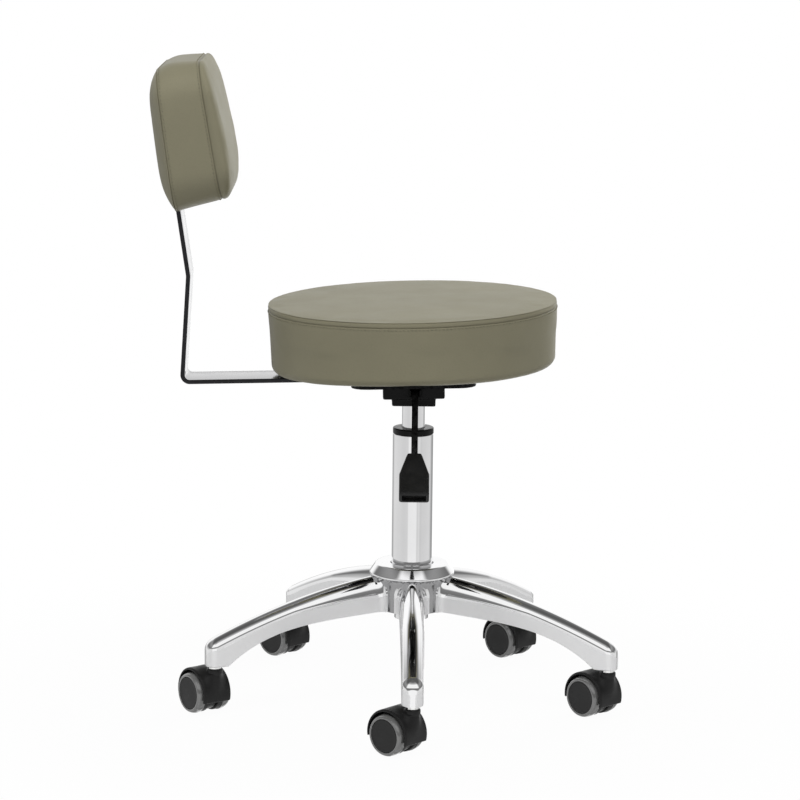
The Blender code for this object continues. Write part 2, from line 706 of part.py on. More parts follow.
def build_stand_tube(parent):
    """Stand tube in the hub, the guide bush in its mouth, and the thrust bearing and clip at its floor."""
    inner = TUBE_RADIUS - TUBE_WALL
    foot_inner = TUBE_FOOT_RADIUS - TUBE_WALL
    floor_top = TUBE_FLOOR_Z + TUBE_FLOOR_WALL
    hole = ROD_RADIUS + RUNNING_GAP
    foot_shoulder = HUB_BOTTOM_Z - TUBE_FLOOR_RECESS
    tube = [
        (TUBE_RADIUS, TUBE_TOP_Z),
        (TUBE_RADIUS, HUB_TOP_Z),
        (tube_radius_at(HUB_BOTTOM_Z), HUB_BOTTOM_Z),
        (TUBE_FOOT_RADIUS, foot_shoulder),
        (TUBE_FOOT_RADIUS, TUBE_FOOT_Z),
        (foot_inner, TUBE_FOOT_Z),
        (foot_inner, TUBE_FLOOR_Z),
        (hole, TUBE_FLOOR_Z),
        (hole, floor_top),
        (foot_inner, floor_top),
        (foot_inner, HUB_BOTTOM_Z),
        (inner, HUB_TOP_Z),
        (inner, TUBE_TOP_Z),
    ]
    turned_part("stand_tube", tube, TUBE_SIDES, CHROME, parent, closed=True)

    bore = CYLINDER_RADIUS + RUNNING_GAP
    bush = [
        (bore, COLLAR_TOP_Z),
        (TUBE_RADIUS - COLLAR_ROUND, COLLAR_TOP_Z),
        (TUBE_RADIUS, COLLAR_TOP_Z - COLLAR_ROUND),
        (TUBE_RADIUS, COLLAR_BOTTOM_Z),
        (inner - GAP, COLLAR_BOTTOM_Z),
        (inner - GAP, COLLAR_BOTTOM_Z - BUSH_LENGTH),
        (bore, COLLAR_BOTTOM_Z - BUSH_LENGTH),
    ]
    turned_part("guide_bush", bush, TUBE_SIDES, BLACK_NYLON, parent, closed=True)

    bearing_top = BEARING_BOTTOM_Z + BEARING_HEIGHT
    bearing = [
        (hole, bearing_top),
        (BEARING_RADIUS, bearing_top),
        (BEARING_RADIUS, BEARING_BOTTOM_Z),
        (hole, BEARING_BOTTOM_Z),
    ]
    turned_part("thrust_bearing", bearing, ROD_SIDES, BRIGHT_STEEL, parent, closed=True)

    clip_top = TUBE_FLOOR_Z - GAP
    groove = ROD_RADIUS - CLIP_GROOVE_DEPTH + GAP
    clip = [
        (groove, clip_top),
        (CLIP_RADIUS, clip_top),
        (CLIP_RADIUS, clip_top - CLIP_THICKNESS),
        (groove, clip_top - CLIP_THICKNESS),
    ]
    turned_part("retaining_clip", clip, ROD_SIDES, BRIGHT_STEEL, parent, closed=True)


def build_rod(parent):
    """Piston rod: it stands on the thrust bearing, turns there, and ends in the piston."""
    clip_top = TUBE_FLOOR_Z - GAP
    groove_low = clip_top - CLIP_THICKNESS - GAP
    groove = ROD_RADIUS - CLIP_GROOVE_DEPTH
    piston = CYLINDER_RADIUS - CYLINDER_WALL - RUNNING_GAP
    rod = [
        (0.0, PISTON_TOP_Z),
        (piston, PISTON_TOP_Z),
        (piston, PISTON_BOTTOM_Z),
        (ROD_RADIUS, PISTON_BOTTOM_Z),
        (ROD_RADIUS, ROD_SHOULDER_Z + ROD_SHOULDER_HEIGHT),
        (ROD_SHOULDER_RADIUS, ROD_SHOULDER_Z + ROD_SHOULDER_HEIGHT),
        (ROD_SHOULDER_RADIUS, ROD_SHOULDER_Z),
        (ROD_RADIUS, ROD_SHOULDER_Z),
        (ROD_RADIUS, TUBE_FLOOR_Z),
        (groove, TUBE_FLOOR_Z),
        (groove, groove_low),
        (ROD_RADIUS, groove_low),
        (ROD_RADIUS, groove_low - CLIP_GROOVE_DEPTH / 2),
        (0.0, groove_low - CLIP_GROOVE_DEPTH / 2),
    ]
    turned_part("piston_rod", rod, ROD_SIDES, BRIGHT_STEEL, parent)


def build_cylinder(parent):
    """Gas cylinder: open below around the rod, with a valve block above that holds the release pin."""
    inner = CYLINDER_RADIUS - CYLINDER_WALL
    valve_z = PISTON_TOP_Z + PISTON_HEIGHT
    pin_bore = PIN_RADIUS + RUNNING_GAP
    rod_bore = ROD_RADIUS + RUNNING_GAP
    end_top = CYLINDER_BOTTOM_Z + CYLINDER_END_WALL
    cylinder = [
        (pin_bore, CYLINDER_TOP_Z),
        (CYLINDER_RADIUS - CYLINDER_ROUND, CYLINDER_TOP_Z),
        (CYLINDER_RADIUS, CYLINDER_TOP_Z - CYLINDER_ROUND),
        (CYLINDER_RADIUS, CYLINDER_BOTTOM_Z),
        (rod_bore, CYLINDER_BOTTOM_Z),
        (rod_bore, end_top),
        (inner, end_top),
        (inner, valve_z),
        (pin_bore, valve_z),
    ]
    turned_part("gas_cylinder", cylinder, CYLINDER_SIDES, CHROME, parent, closed=True)


def build_pin(parent):
    """Release pin: it stands in the cylinder's top, under the lever's nose."""
    pin = [
        (0.0, PIN_TOP_Z),
        (PIN_TIP_RADIUS, PIN_TOP_Z),
        (PIN_RADIUS, PIN_TOP_Z - PIN_TIP_LENGTH),
        (PIN_RADIUS, PIN_TOP_Z - PIN_LENGTH),
        (0.0, PIN_TOP_Z - PIN_LENGTH),
    ]
    turned_part("release_pin", pin, PIN_SIDES, BRIGHT_STEEL, parent)


def build_mechanism(parent, seat_frame):
    """Mechanism housing: a box that grips the cylinder, and wider cheeks that follow the seat's tilt."""
    box = box_mesh(
        "mechanism_housing",
        (-BOX_WIDTH / 2, -BOX_DEPTH / 2, BOX_BOTTOM_Z),
        (BOX_WIDTH / 2, BOX_DEPTH / 2, BOX_TOP_Z + CHEEK_HEIGHT / 2),
    )
    housing = add_part("mechanism_housing", box, BLACK_STEEL, parent)
    cheeks = box_mesh(
        "cheeks",
        (-CHEEK_WIDTH / 2, -CHEEK_DEPTH / 2, -CHEEK_DROP),
        (CHEEK_WIDTH / 2, CHEEK_DEPTH / 2, CHEEK_HEIGHT),
    )
    boolean(housing, add_cutter("mechanism_cheeks", cheeks, seat_frame), "UNION")
    socket_top = CYLINDER_TOP_Z + GAP
    socket_low = BOX_BOTTOM_Z - BOX_HEIGHT
    socket = cylinder_mesh("socket", CYLINDER_RADIUS + GAP, socket_low, socket_top, CYLINDER_SIDES)
    boolean(housing, add_cutter("mechanism_socket", socket, parent))
    slot_half = LEVER_WIDTH / 2 + LEVER_SLOT_SIDE
    slot = box_mesh(
        "slot",
        (LEVER_SIDE_OFFSET - slot_half, -CHEEK_DEPTH, socket_top - GAP),
        (LEVER_SIDE_OFFSET + slot_half, LEVER_NOSE + LEVER_SLOT_SIDE, LEVER_Z + LEVER_SLOT_RISE),
    )
    boolean(housing, add_cutter("mechanism_slot", slot, parent))
    pivot = cylinder_mesh(
        "pivot",
        LEVER_PIN_RADIUS + RUNNING_GAP,
        -CHEEK_WIDTH,
        CHEEK_WIDTH,
        LEVER_PIN_SIDES,
        "X",
        (-LEVER_PIVOT_REACH, LEVER_Z),
    )
    boolean(housing, add_cutter("mechanism_pivot", pivot, parent))


def build_lever(parent):
    """Release lever: a bent strip on a cross pin, with a moulded paddle; its frame is the pivot."""
    bend = Vector((LEVER_PIVOT_REACH - LEVER_RUN, 0.0))
    along = Vector((-math.cos(LEVER_SLOPE), -math.sin(LEVER_SLOPE)))
    end = bend + along * LEVER_ARM_LENGTH
    nose = (LEVER_PIVOT_REACH + LEVER_NOSE, 0.0)
    outline = bent_strip([nose, bend, end], [LEVER_BEND_RADIUS], LEVER_THICKNESS, BEND_STEPS)
    strip = add_part("lever_bar", flat_mesh("strip", outline, LEVER_WIDTH / 2, UPRIGHT_YZ), BLACK_STEEL, parent)
    pin_half = CHEEK_WIDTH / 2 - LEVER_SIDE_OFFSET
    pin = cylinder_mesh("pin", LEVER_PIN_RADIUS, -pin_half, pin_half, LEVER_PIN_SIDES, "X", (0.0, 0.0))
    boolean(strip, add_cutter("lever_cross_pin", pin, parent), "UNION")

    grip = new_empty("lever_grip", parent, (0.0, end.x, end.y), (LEVER_SLOPE, 0.0, 0.0))
    start = PADDLE_SOCKET_DEPTH
    neck = start - PADDLE_NECK_LENGTH
    tip = start - PADDLE_LENGTH
    stations = [
        (start, PADDLE_NECK_WIDTH, PADDLE_NECK_THICKNESS),
        (neck, PADDLE_WIDTH, (PADDLE_NECK_THICKNESS + PADDLE_END_THICKNESS) / 2),
        (tip + PADDLE_CHAMFER, PADDLE_WIDTH, PADDLE_END_THICKNESS),
        (tip, PADDLE_WIDTH - PADDLE_CHAMFER, PADDLE_END_THICKNESS - PADDLE_CHAMFER / 2),
    ]
    rings = [paddle_ring(*station) for station in stations]
    paddle = add_part("lever_paddle", loft_mesh("lever_paddle", rings), BLACK_NYLON, grip)
    socket = box_mesh(
        "socket",
        (-LEVER_WIDTH / 2 - GAP, -GAP, -LEVER_THICKNESS / 2 - GAP),
        (LEVER_WIDTH / 2 + GAP, 2 * PADDLE_SOCKET_DEPTH, LEVER_THICKNESS / 2 + GAP),
    )
    boolean(paddle, add_cutter("paddle_socket", socket, grip))
    half_width = PADDLE_WIDTH / 2 - PADDLE_RECESS_MARGIN
    half_depth = PADDLE_END_THICKNESS / 2 - PADDLE_RECESS_MARGIN
    recess = box_mesh(
        "recess",
        (-half_width, tip - PADDLE_RECESS_DEPTH, -half_depth),
        (half_width, tip + PADDLE_RECESS_DEPTH, half_depth),
    )
    boolean(paddle, add_cutter("paddle_recess", recess, grip))


def paddle_ring(along, width, thickness):
    """Return the paddle's section: a rectangle with cut corners."""
    x = width / 2
    z = thickness / 2
    cut = PADDLE_CHAMFER
    corners = [
        (x - cut, -z), (x, cut - z), (x, z - cut), (x - cut, z),
        (cut - x, z), (-x, z - cut), (-x, cut - z), (cut - x, -z),
    ]
    return [(px, along, pz) for px, pz in corners]


def seat_screw_points():
    """Return where the seat plate's four screws stand."""
    half = SEAT_SCREW_SPACING / 2
    return [(sx * half, sy * half) for sx in (-1, 1) for sy in (-1, 1)]


def bar_screw_points():
    """Return where the two screws through the back bar's lower leg stand."""
    x = -BAR_INNER_END - BAR_SCREW_INSET
    return [(x, 0.0), (x - BAR_SCREW_SPACING, 0.0)]


def screw_points(head_top, end):
    """Return a screw's profile: a low head under a shank that points up."""
    head_bottom = head_top - SCREW_HEAD_HEIGHT
    return [
        (0.0, end),
        (SCREW_RADIUS, end),
        (SCREW_RADIUS, head_top),
        (SCREW_HEAD_RADIUS, head_top),
        (SCREW_HEAD_RADIUS - SCREW_HEAD_TAPER, head_bottom),
        (0.0, head_bottom),
    ]


def screw_holes(name, points, low, high):
    """Return clearance holes for screws along Z, as one cutter mesh."""
    radius = SCREW_RADIUS + GAP
    holes = [cylinder_mesh("hole", radius, low, high, SCREW_SIDES, "Z", point) for point in points]
    return joined_mesh(name, holes)


def build_seat(parent):
    """Seat plate, board, cushion and their screws, all in the tilted seat frame."""
    half = PLATE_WIDTH / 2
    rim_bottom = PLATE_TOP - PLATE_RIM_HEIGHT
    outline = rounded_rectangle(half, half, PLATE_CORNER, PLATE_CORNER_STEPS)
    body = flat_mesh("seat_plate", outline, PLATE_RIM_HEIGHT / 2)
    body.transform(Matrix.Translation((0.0, 0.0, PLATE_TOP - PLATE_RIM_HEIGHT / 2)))
    plate = add_part("seat_plate", body, BLACK_STEEL, parent)
    inside = half - PLATE_RIM_WALL
    inner = rounded_rectangle(inside, inside, PLATE_CORNER - PLATE_RIM_WALL, PLATE_CORNER_STEPS)
    hollow = flat_mesh("hollow", inner, PLATE_RIM_HEIGHT)
    hollow.transform(Matrix.Translation((0.0, 0.0, PLATE_TOP - PLATE_WEB - PLATE_RIM_HEIGHT)))
    boolean(plate, add_cutter("plate_hollow", hollow, parent))
    tongue = box_mesh(
        "tongue",
        (-TONGUE_REACH, -BAR_WIDTH / 2, PLATE_TOP - TONGUE_THICKNESS),
        (PLATE_RIM_WALL / 2 - half, BAR_WIDTH / 2, PLATE_TOP),
    )
    boolean(plate, add_cutter("plate_tongue", tongue, parent), "UNION")
    points = seat_screw_points() + bar_screw_points()
    holes = screw_holes("plate_holes", points, rim_bottom, PLATE_TOP + PLATE_WEB)
    boolean(plate, add_cutter("plate_holes", holes, parent))

    disc = cylinder_mesh("seat_board", BOARD_RADIUS, SEAT_BOTTOM, BOARD_TOP, SEAT_SIDES)
    board = add_part("seat_board", disc, PAINTED_BOARD, parent)
    holes = screw_holes("board_holes", points, SEAT_BOTTOM - GAP, BOARD_TOP - 2 * GAP)
    boolean(board, add_cutter("board_holes", holes, parent))

    shank_end = BOARD_TOP - 3 * GAP
    under_web = PLATE_TOP - PLATE_WEB - GAP
    for number, (x, y) in enumerate(seat_screw_points(), 1):
        profile = screw_points(under_web, shank_end)
        turned_part(f"seat_screw_{number}", profile, SCREW_SIDES, BRIGHT_STEEL, parent, location=(x, y, 0.0))
    under_bar = BAR_TOP - BAR_THICKNESS - GAP
    for number, (x, y) in enumerate(bar_screw_points(), 1):
        profile = screw_points(under_bar, shank_end)
        turned_part(f"bar_screw_{number}", profile, SCREW_SIDES, BRIGHT_STEEL, parent, location=(x, y, 0.0))

    turned_part("seat_cushion", seat_cushion_profile(), SEAT_SIDES, SAGE_VINYL, parent)


def seat_cushion_profile():
    """Return the seat's profile: crowned top, round edge, sunk seam, drawn-in side and the board's pocket."""
    bottom_radius = SEAT_RADIUS - SEAT_BOTTOM_INSET
    seam_z = SEAT_BOTTOM + SEAT_SEAM_HEIGHT
    top_z = seam_z + SEAT_TOP_ROUND
    top_centre = (SEAT_RADIUS - SEAT_TOP_ROUND, seam_z)
    foot_centre = (bottom_radius - SEAT_BOTTOM_ROUND, SEAT_BOTTOM + SEAT_BOTTOM_ROUND)
    edge = arc(top_centre, SEAT_TOP_ROUND, math.pi / 2, math.pi / 8, ROUND_STEPS)
    foot = arc(foot_centre, SEAT_BOTTOM_ROUND, 0.0, -math.pi / 2, ROUND_STEPS)
    crown = [
        (0.0, top_z + SEAT_CROWN),
        (SEAT_FLAT_RADIUS, top_z + SEAT_CROWN),
        ((SEAT_FLAT_RADIUS + SEAT_RADIUS) / 2, top_z + SEAT_CROWN * SEAT_CROWN_MIDDLE),
    ]
    seam = [
        (SEAT_RADIUS - SEAT_SEAM_DRAW, seam_z),
        (SEAT_RADIUS, seam_z - 3 * SEAT_SEAM_DRAW),
    ]
    waist = [(SEAT_RADIUS - SEAT_WAIST_INSET, (seam_z + SEAT_BOTTOM) / 2)]
    pocket = [
        (BOARD_RADIUS + GAP, SEAT_BOTTOM),
        (BOARD_RADIUS + GAP, BOARD_TOP + GAP),
        (0.0, BOARD_TOP + GAP),
    ]
    return crown + edge + seam + waist + foot + pocket


def bar_corners():
    """Return the back bar's centre line in the seat frame: inner end, corner, kink and top."""
    leg = BAR_TOP - BAR_THICKNESS / 2
    corner = Vector((BAR_THICKNESS / 2 - BAR_REACH, leg))
    kink = corner + Vector((math.tan(BAR_LOWER_LEAN), 1.0)) * BAR_KINK_RISE
    top = kink + upper_way() * (BAR_TO_PAD_CENTRE + BAR_PAST_CENTRE)
    return [Vector((-BAR_INNER_END, leg)), corner, kink, top]


def upper_way():
    """Return the direction of the bar's upper leg, in X and Z."""
    return Vector((-math.sin(BAR_UPPER_LEAN), math.cos(BAR_UPPER_LEAN)))


def build_back(parent):
    """Back bar, back board, boxed back cushion and their screws; the pad frame is on the bar's front face."""
    corners = bar_corners()
    outline = bent_strip(corners, [BAR_CORNER_RADIUS, BAR_KINK_RADIUS], BAR_THICKNESS, BEND_STEPS)
    bar = add_part("back_bar", flat_mesh("back_bar", outline, BAR_WIDTH / 2, UPRIGHT_XZ), CHROME, parent)
    leg_low = BAR_TOP - 2 * BAR_THICKNESS
    holes = screw_holes("bar_holes", bar_screw_points(), leg_low, BAR_TOP + BAR_THICKNESS)
    boolean(bar, add_cutter("bar_holes", holes, parent))

    way = upper_way()
    front = Vector((way.y, -way.x)) * BAR_THICKNESS / 2
    centre = corners[2] + way * BAR_TO_PAD_CENTRE + front
    pad = new_empty("back_pad_frame", parent, (centre.x, 0.0, centre.y), (0.0, -BAR_UPPER_LEAN, 0.0))
    through = new_empty("back_screw_frame", pad, rotation=(0.0, math.pi / 2, 0.0))

    board_rear = GAP
    board_front = board_rear + BACK_BOARD_THICKNESS
    spots = [(-BACK_SCREW_SPACING / 2, 0.0), (BACK_SCREW_SPACING / 2, 0.0)]
    half_width = BACK_BOARD_WIDTH / 2
    half_height = BACK_BOARD_HEIGHT / 2
    low_corner = (board_rear, -half_width, -half_height)
    high_corner = (board_front, half_width, half_height)
    board = add_part("back_board", box_mesh("back_board", low_corner, high_corner), PAINTED_BOARD, pad)
    holes = screw_holes("back_holes", spots, -2 * BAR_THICKNESS, board_front - 2 * GAP)
    tool = add_cutter("back_holes", holes, through)
    boolean(bar, tool)
    boolean(board, tool)
    under_head = -BAR_THICKNESS - GAP
    for number, (x, y) in enumerate(spots, 1):
        profile = screw_points(under_head, board_front - 3 * GAP)
        name = f"back_screw_{number}"
        turned_part(name, profile, SCREW_SIDES, BRIGHT_STEEL, through, location=(x, y, 0.0))

    cushion = add_part("back_cushion", loft_mesh("back_cushion", back_cushion_rings()), SAGE_VINYL, pad)
    pocket = box_mesh(
        "board_pocket",
        (board_rear - GAP, -half_width - GAP, -half_height - GAP),
        (board_front + GAP, half_width + GAP, half_height + GAP),
    )
    boolean(cushion, add_cutter("board_pocket", pocket, pad))
    head_room = BAR_THICKNESS + SCREW_HEAD_HEIGHT + 3 * GAP
    sleeve = box_mesh(
        "bar_sleeve",
        (-BAR_THICKNESS - GAP, -BAR_WIDTH / 2 - GAP, -PAD_HEIGHT),
        (board_rear, BAR_WIDTH / 2 + GAP, BAR_PAST_CENTRE + GAP),
    )
    boolean(cushion, add_cutter("bar_sleeve", sleeve, pad))
    reach = BACK_SCREW_SPACING / 2 + SCREW_HEAD_RADIUS + GAP
    heads = box_mesh(
        "head_room",
        (-head_room, -SCREW_HEAD_RADIUS - GAP, -reach),
        (-BAR_THICKNESS, SCREW_HEAD_RADIUS + GAP, reach),
    )
    boolean(cushion, add_cutter("head_room", heads, pad))


def back_cushion_rings():
    """Return the boxed back cushion's rings, from the rear panel over the boxing to the front panel."""
    rear = PAD_REAR_SEAM
    front = rear + PAD_BOXING
    deepest = PAD_HEIGHT / 2 * PAD_PANEL_SHARE
    insets = [deepest * (i / PAD_RINGS) ** PAD_RING_GATHER for i in range(PAD_RINGS + 1)]
    rings = []
    for inset in reversed(insets):
        depth = rear - PAD_CROWN_REAR * crown_share(inset, deepest, PAD_REAR_FULLNESS)
        rings.append(pad_ring(depth, inset - PAD_TAPER, PAD_REAR_SLOPE))
    for share in PAD_BOXING_SHARES:
        bulge = PAD_BOXING_BULGE * 4 * share * (1 - share)
        slope = PAD_REAR_SLOPE + (PAD_FRONT_SLOPE - PAD_REAR_SLOPE) * share
        rings.append(pad_ring(rear + PAD_BOXING * share, PAD_TAPER * (2 * share - 1) - bulge, slope))
    for inset in insets:
        depth = front + PAD_CROWN_FRONT * crown_share(inset, deepest, PAD_FRONT_FULLNESS)
        rings.append(pad_ring(depth, inset + PAD_TAPER, PAD_FRONT_SLOPE))
    return rings


def crown_share(inset, deepest, fullness):
    """Return how far a panel has risen to its crown at a distance in from its seam."""
    return 1.0 - (1.0 - inset / deepest) ** fullness


def pad_ring(depth, inset, slope):
    """Return the pad's outline at a depth, drawn in from its seam; the slope is its change with height."""
    half_width = PAD_WIDTH / 2 - inset
    half_height = PAD_HEIGHT / 2 - inset
    radius = min(max(PAD_CORNER - inset, PAD_CORNER / 4), half_height * 0.95)
    outline = rounded_rectangle(half_width, half_height, radius, PAD_CORNER_STEPS)
    return [(depth + slope * z, y, z) for y, z in outline]


def bounds(objects):
    """Return the corners of the box around evaluated objects."""
    graph = bpy.context.evaluated_depsgraph_get()
    points = []
    for obj in objects:
        shape = obj.evaluated_get(graph)
        points += [shape.matrix_world @ vert.co for vert in shape.data.vertices]
    low = Vector(min(point[i] for point in points) for i in range(3))
    high = Vector(max(point[i] for point in points) for i in range(3))
    return low, high


def centre_over_origin(root):
    """Move the whole stool so that the middle of its box stands over the origin."""
    bpy.context.view_layer.update()
    low, high = bounds([obj for obj in PARTS.objects if obj.type == "MESH"])
    middle = (low + high) / 2
    root.location = (-middle.x, -middle.y, -low.z)
    bpy.context.view_layer.update()
    print("size", [round(value, 5) for value in high - low])


def main():
    """Build every sub-part under the empties that carry them, and print the joints' places."""
    root = new_empty("stool", None)
    build_base(root)
    for number, (angle, heading) in enumerate(zip(arm_angles(), CASTER_HEADINGS), 1):
        build_caster(number, angle, heading, root)
    build_stand_tube(root)
    swivel = new_empty("seat_swivel", root)
    build_rod(swivel)
    lift = new_empty("seat_lift", swivel)
    build_cylinder(lift)
    seat_frame = new_empty("seat_frame", lift, (0.0, 0.0, BOX_TOP_Z), (0.0, -SEAT_TILT, 0.0))
    build_mechanism(lift, seat_frame)
    build_pin(new_empty("release_pin_slide", lift))
    build_lever(new_empty("lever_pivot", lift, (LEVER_SIDE_OFFSET, -LEVER_PIVOT_REACH, LEVER_Z)))
    build_seat(seat_frame)
    build_back(seat_frame)
    centre_over_origin(root)
    for obj in PARTS.objects:
        if obj.type == "EMPTY":
            print(obj.name, [round(value, 6) for value in obj.matrix_world.translation])


clear_scene()
PARTS = new_collection(PARTS_NAME)
CUTTERS = new_collection(CUTTERS_NAME)
CHROME = new_material("chrome", (0.80, 0.80, 0.81), 0.08, 1.0)
POLISHED_ALUMINIUM = new_material("polished_aluminium", (0.82, 0.82, 0.82), 0.12, 1.0)
BRIGHT_STEEL = new_material("bright_steel", (0.70, 0.70, 0.70), 0.25, 1.0)
BLACK_STEEL = new_material("black_steel", (0.012, 0.012, 0.013), 0.45)
BLACK_NYLON = new_material("black_nylon", (0.022, 0.022, 0.022), 0.50)
GREY_RUBBER = new_material("grey_rubber", (0.20, 0.20, 0.20), 0.45)
PAINTED_BOARD = new_material("painted_board", (0.020, 0.020, 0.020), 0.80)
SAGE_VINYL = new_material("sage_vinyl", (0.235, 0.228, 0.175), 0.42)
main()
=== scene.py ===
"""Looks of a rolling stool with a backrest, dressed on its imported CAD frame.

Lengths are metres. +Z is up, +X is the way the sitter faces, and the release lever points to -Y.
"""

import json
import logging
import math
from collections.abc import Callable, Sequence
from dataclasses import dataclass, field
from enum import Enum

import bmesh
import bpy
import numpy as np
from mathutils import Matrix, Vector, noise
from mathutils.kdtree import KDTree

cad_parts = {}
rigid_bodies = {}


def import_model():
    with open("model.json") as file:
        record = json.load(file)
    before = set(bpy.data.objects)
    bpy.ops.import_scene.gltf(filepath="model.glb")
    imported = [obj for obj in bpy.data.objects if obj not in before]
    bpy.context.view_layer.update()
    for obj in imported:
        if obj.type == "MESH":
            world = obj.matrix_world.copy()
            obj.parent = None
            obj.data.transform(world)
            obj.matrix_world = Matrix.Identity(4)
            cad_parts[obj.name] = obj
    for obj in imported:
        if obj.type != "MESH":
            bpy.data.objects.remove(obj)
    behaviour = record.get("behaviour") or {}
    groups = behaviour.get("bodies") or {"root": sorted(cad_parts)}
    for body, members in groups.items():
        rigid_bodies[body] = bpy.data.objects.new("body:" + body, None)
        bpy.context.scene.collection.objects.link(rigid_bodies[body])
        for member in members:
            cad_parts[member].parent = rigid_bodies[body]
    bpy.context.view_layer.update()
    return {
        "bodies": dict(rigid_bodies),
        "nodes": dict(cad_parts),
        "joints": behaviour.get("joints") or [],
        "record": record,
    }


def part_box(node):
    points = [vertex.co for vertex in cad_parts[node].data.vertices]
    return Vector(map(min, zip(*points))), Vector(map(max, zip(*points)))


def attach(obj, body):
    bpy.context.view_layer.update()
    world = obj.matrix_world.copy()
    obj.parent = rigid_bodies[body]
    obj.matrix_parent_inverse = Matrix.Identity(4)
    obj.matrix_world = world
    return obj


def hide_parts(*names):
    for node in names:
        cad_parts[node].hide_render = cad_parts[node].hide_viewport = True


LOG = logging.getLogger("rolling_stool")
MERGE_DISTANCE = 1e-6
TINY = 1e-12
MITRE_FLOOR = 0.3
CASTERS = range(1, 6)
SEWN = 0.99

# Place along a stitch, and its rise and girth there in thread radii
STITCH_SHAPE = ((0.0, -1.1, 0.35), (0.15, 0.1, 0.9), (0.5, 0.45, 1.0), (0.85, 0.1, 0.9), (1.0, -1.1, 0.35))
STITCH_START = 0.12
STITCH_LENGTH = 0.70
THREAD_SIDES = 6

Colour = tuple[float, float, float]
Profile = list[tuple[float, float]]
Corners = Sequence[tuple[float, float, float]]
Sockets = dict[str, bpy.types.NodeSocket]


class Slot(Enum):
    """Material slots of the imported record."""

    CHROME = "chrome"
    ALUMINIUM = "polished_aluminium"
    STEEL = "bright_steel"
    BLACK_STEEL = "black_steel"
    NYLON = "black_nylon"
    RUBBER = "grey_rubber"
    BOARD = "painted_board"
    VINYL = "sage_vinyl"


class Side(Enum):
    """The two wheels of a caster, by the direction of the axle that they stand on."""

    NEAR = 1.0
    FAR = -1.0


# Mesh making


def filleted(corners: Corners, steps: int = 4, closed: bool = False) -> Profile:
    """Round the corners of an outline.

    Args:
        corners: Each corner's two coordinates and how far from it its rounding starts.
        steps: Pieces in each rounding.
        closed: Whether the last corner is joined to the first.

    Returns:
        The outline's points in order.
    """
    points: Profile = []
    count = len(corners)
    for i, (x, z, setback) in enumerate(corners):
        here = np.array((x, z))
        at_end = not closed and i in (0, count - 1)
        if setback <= 0.0 or at_end:
            points.append((x, z))
            continue
        before = np.array(corners[i - 1][:2]) - here
        after = np.array(corners[(i + 1) % count][:2]) - here
        start = here + before * min(0.5, setback / np.linalg.norm(before))
        end = here + after * min(0.5, setback / np.linalg.norm(after))
        for t in np.linspace(0.0, 1.0, steps + 1):
            points.append(tuple((1 - t) ** 2 * start + 2 * t * (1 - t) * here + t * t * end))
    return points


def arc(centre: tuple[float, float], radius: float, start: float, end: float, steps: int) -> Profile:
    """Return points on an arc, both ends included.

    Args:
        centre: The arc's centre.
        radius: Its radius.
        start: First angle, in radians.
        end: Last angle, in radians.
        steps: Pieces in the arc.

    Returns:
        The points in order.
    """
    angles = np.linspace(start, end, steps + 1)
    return [(centre[0] + radius * math.cos(a), centre[1] + radius * math.sin(a)) for a in angles]


def turned_rings(profile: Profile, segments: int) -> np.ndarray:
    """Turn a profile of radius and height about Z.

    Args:
        profile: Radius and height of each ring.
        segments: Points around each ring.

    Returns:
        An array of rings, points and coordinates.
    """
    angles = np.linspace(0.0, 2 * math.pi, segments, endpoint=False)
    radius, height = np.array(profile).T
    rings = np.zeros((len(profile), segments, 3))
    rings[..., 0] = radius[:, None] * np.cos(angles)
    rings[..., 1] = radius[:, None] * np.sin(angles)
    rings[..., 2] = height[:, None]
    return rings


def clean_mesh(mesh: bpy.types.Mesh) -> bpy.types.Mesh:
    """Merge doubled points, drop empty faces and turn every face outwards.

    Args:
        mesh: The mesh to clean, changed in place.

    Returns:
        The same mesh.
    """
    bm = bmesh.new()
    bm.from_mesh(mesh)
    bmesh.ops.remove_doubles(bm, verts=bm.verts, dist=MERGE_DISTANCE)
    bmesh.ops.dissolve_degenerate(bm, edges=bm.edges, dist=MERGE_DISTANCE)
    bmesh.ops.recalc_face_normals(bm, faces=bm.faces)
    bm.to_mesh(mesh)
    bm.free()
    return mesh


def shell(name: str, rings: np.ndarray, loop: bool = False, seam: np.ndarray | None = None) -> bpy.types.Mesh:
    """Skin rings of equally many points.

    Args:
        name: The mesh's name.
        rings: An array of rings, points and coordinates.
        loop: Whether the last ring is joined to the first; if not, both ends are closed by a face.
        seam: How dark each ring is drawn along seams and creases, from 0 to 1: partly dirt, partly painted
            shade.

    Returns:
        A closed mesh.
    """
    count, around = rings.shape[:2]
    points = rings.reshape(-1, 3)
    index = np.arange(count * around).reshape(count, around)
    rows = index if loop else index[:-1]
    following = np.roll(index, -1, axis=0) if loop else index[1:]
    quads = np.stack([rows, np.roll(rows, -1, 1), np.roll(following, -1, 1), following], axis=-1)
    faces = quads.reshape(-1, 4).tolist()
    if not loop:
        ends = (index[0][::-1], index[-1])
        faces += [row.tolist() for row in ends if np.ptp(points[row], axis=0).max() > MERGE_DISTANCE]
    mesh = bpy.data.meshes.new(name)
    mesh.from_pydata(points.tolist(), [], faces)
    if seam is not None:
        mask = mesh.attributes.new("seam", "FLOAT", "POINT")
        mask.data.foreach_set("value", np.repeat(seam, around).astype(np.float32))
    return clean_mesh(mesh)


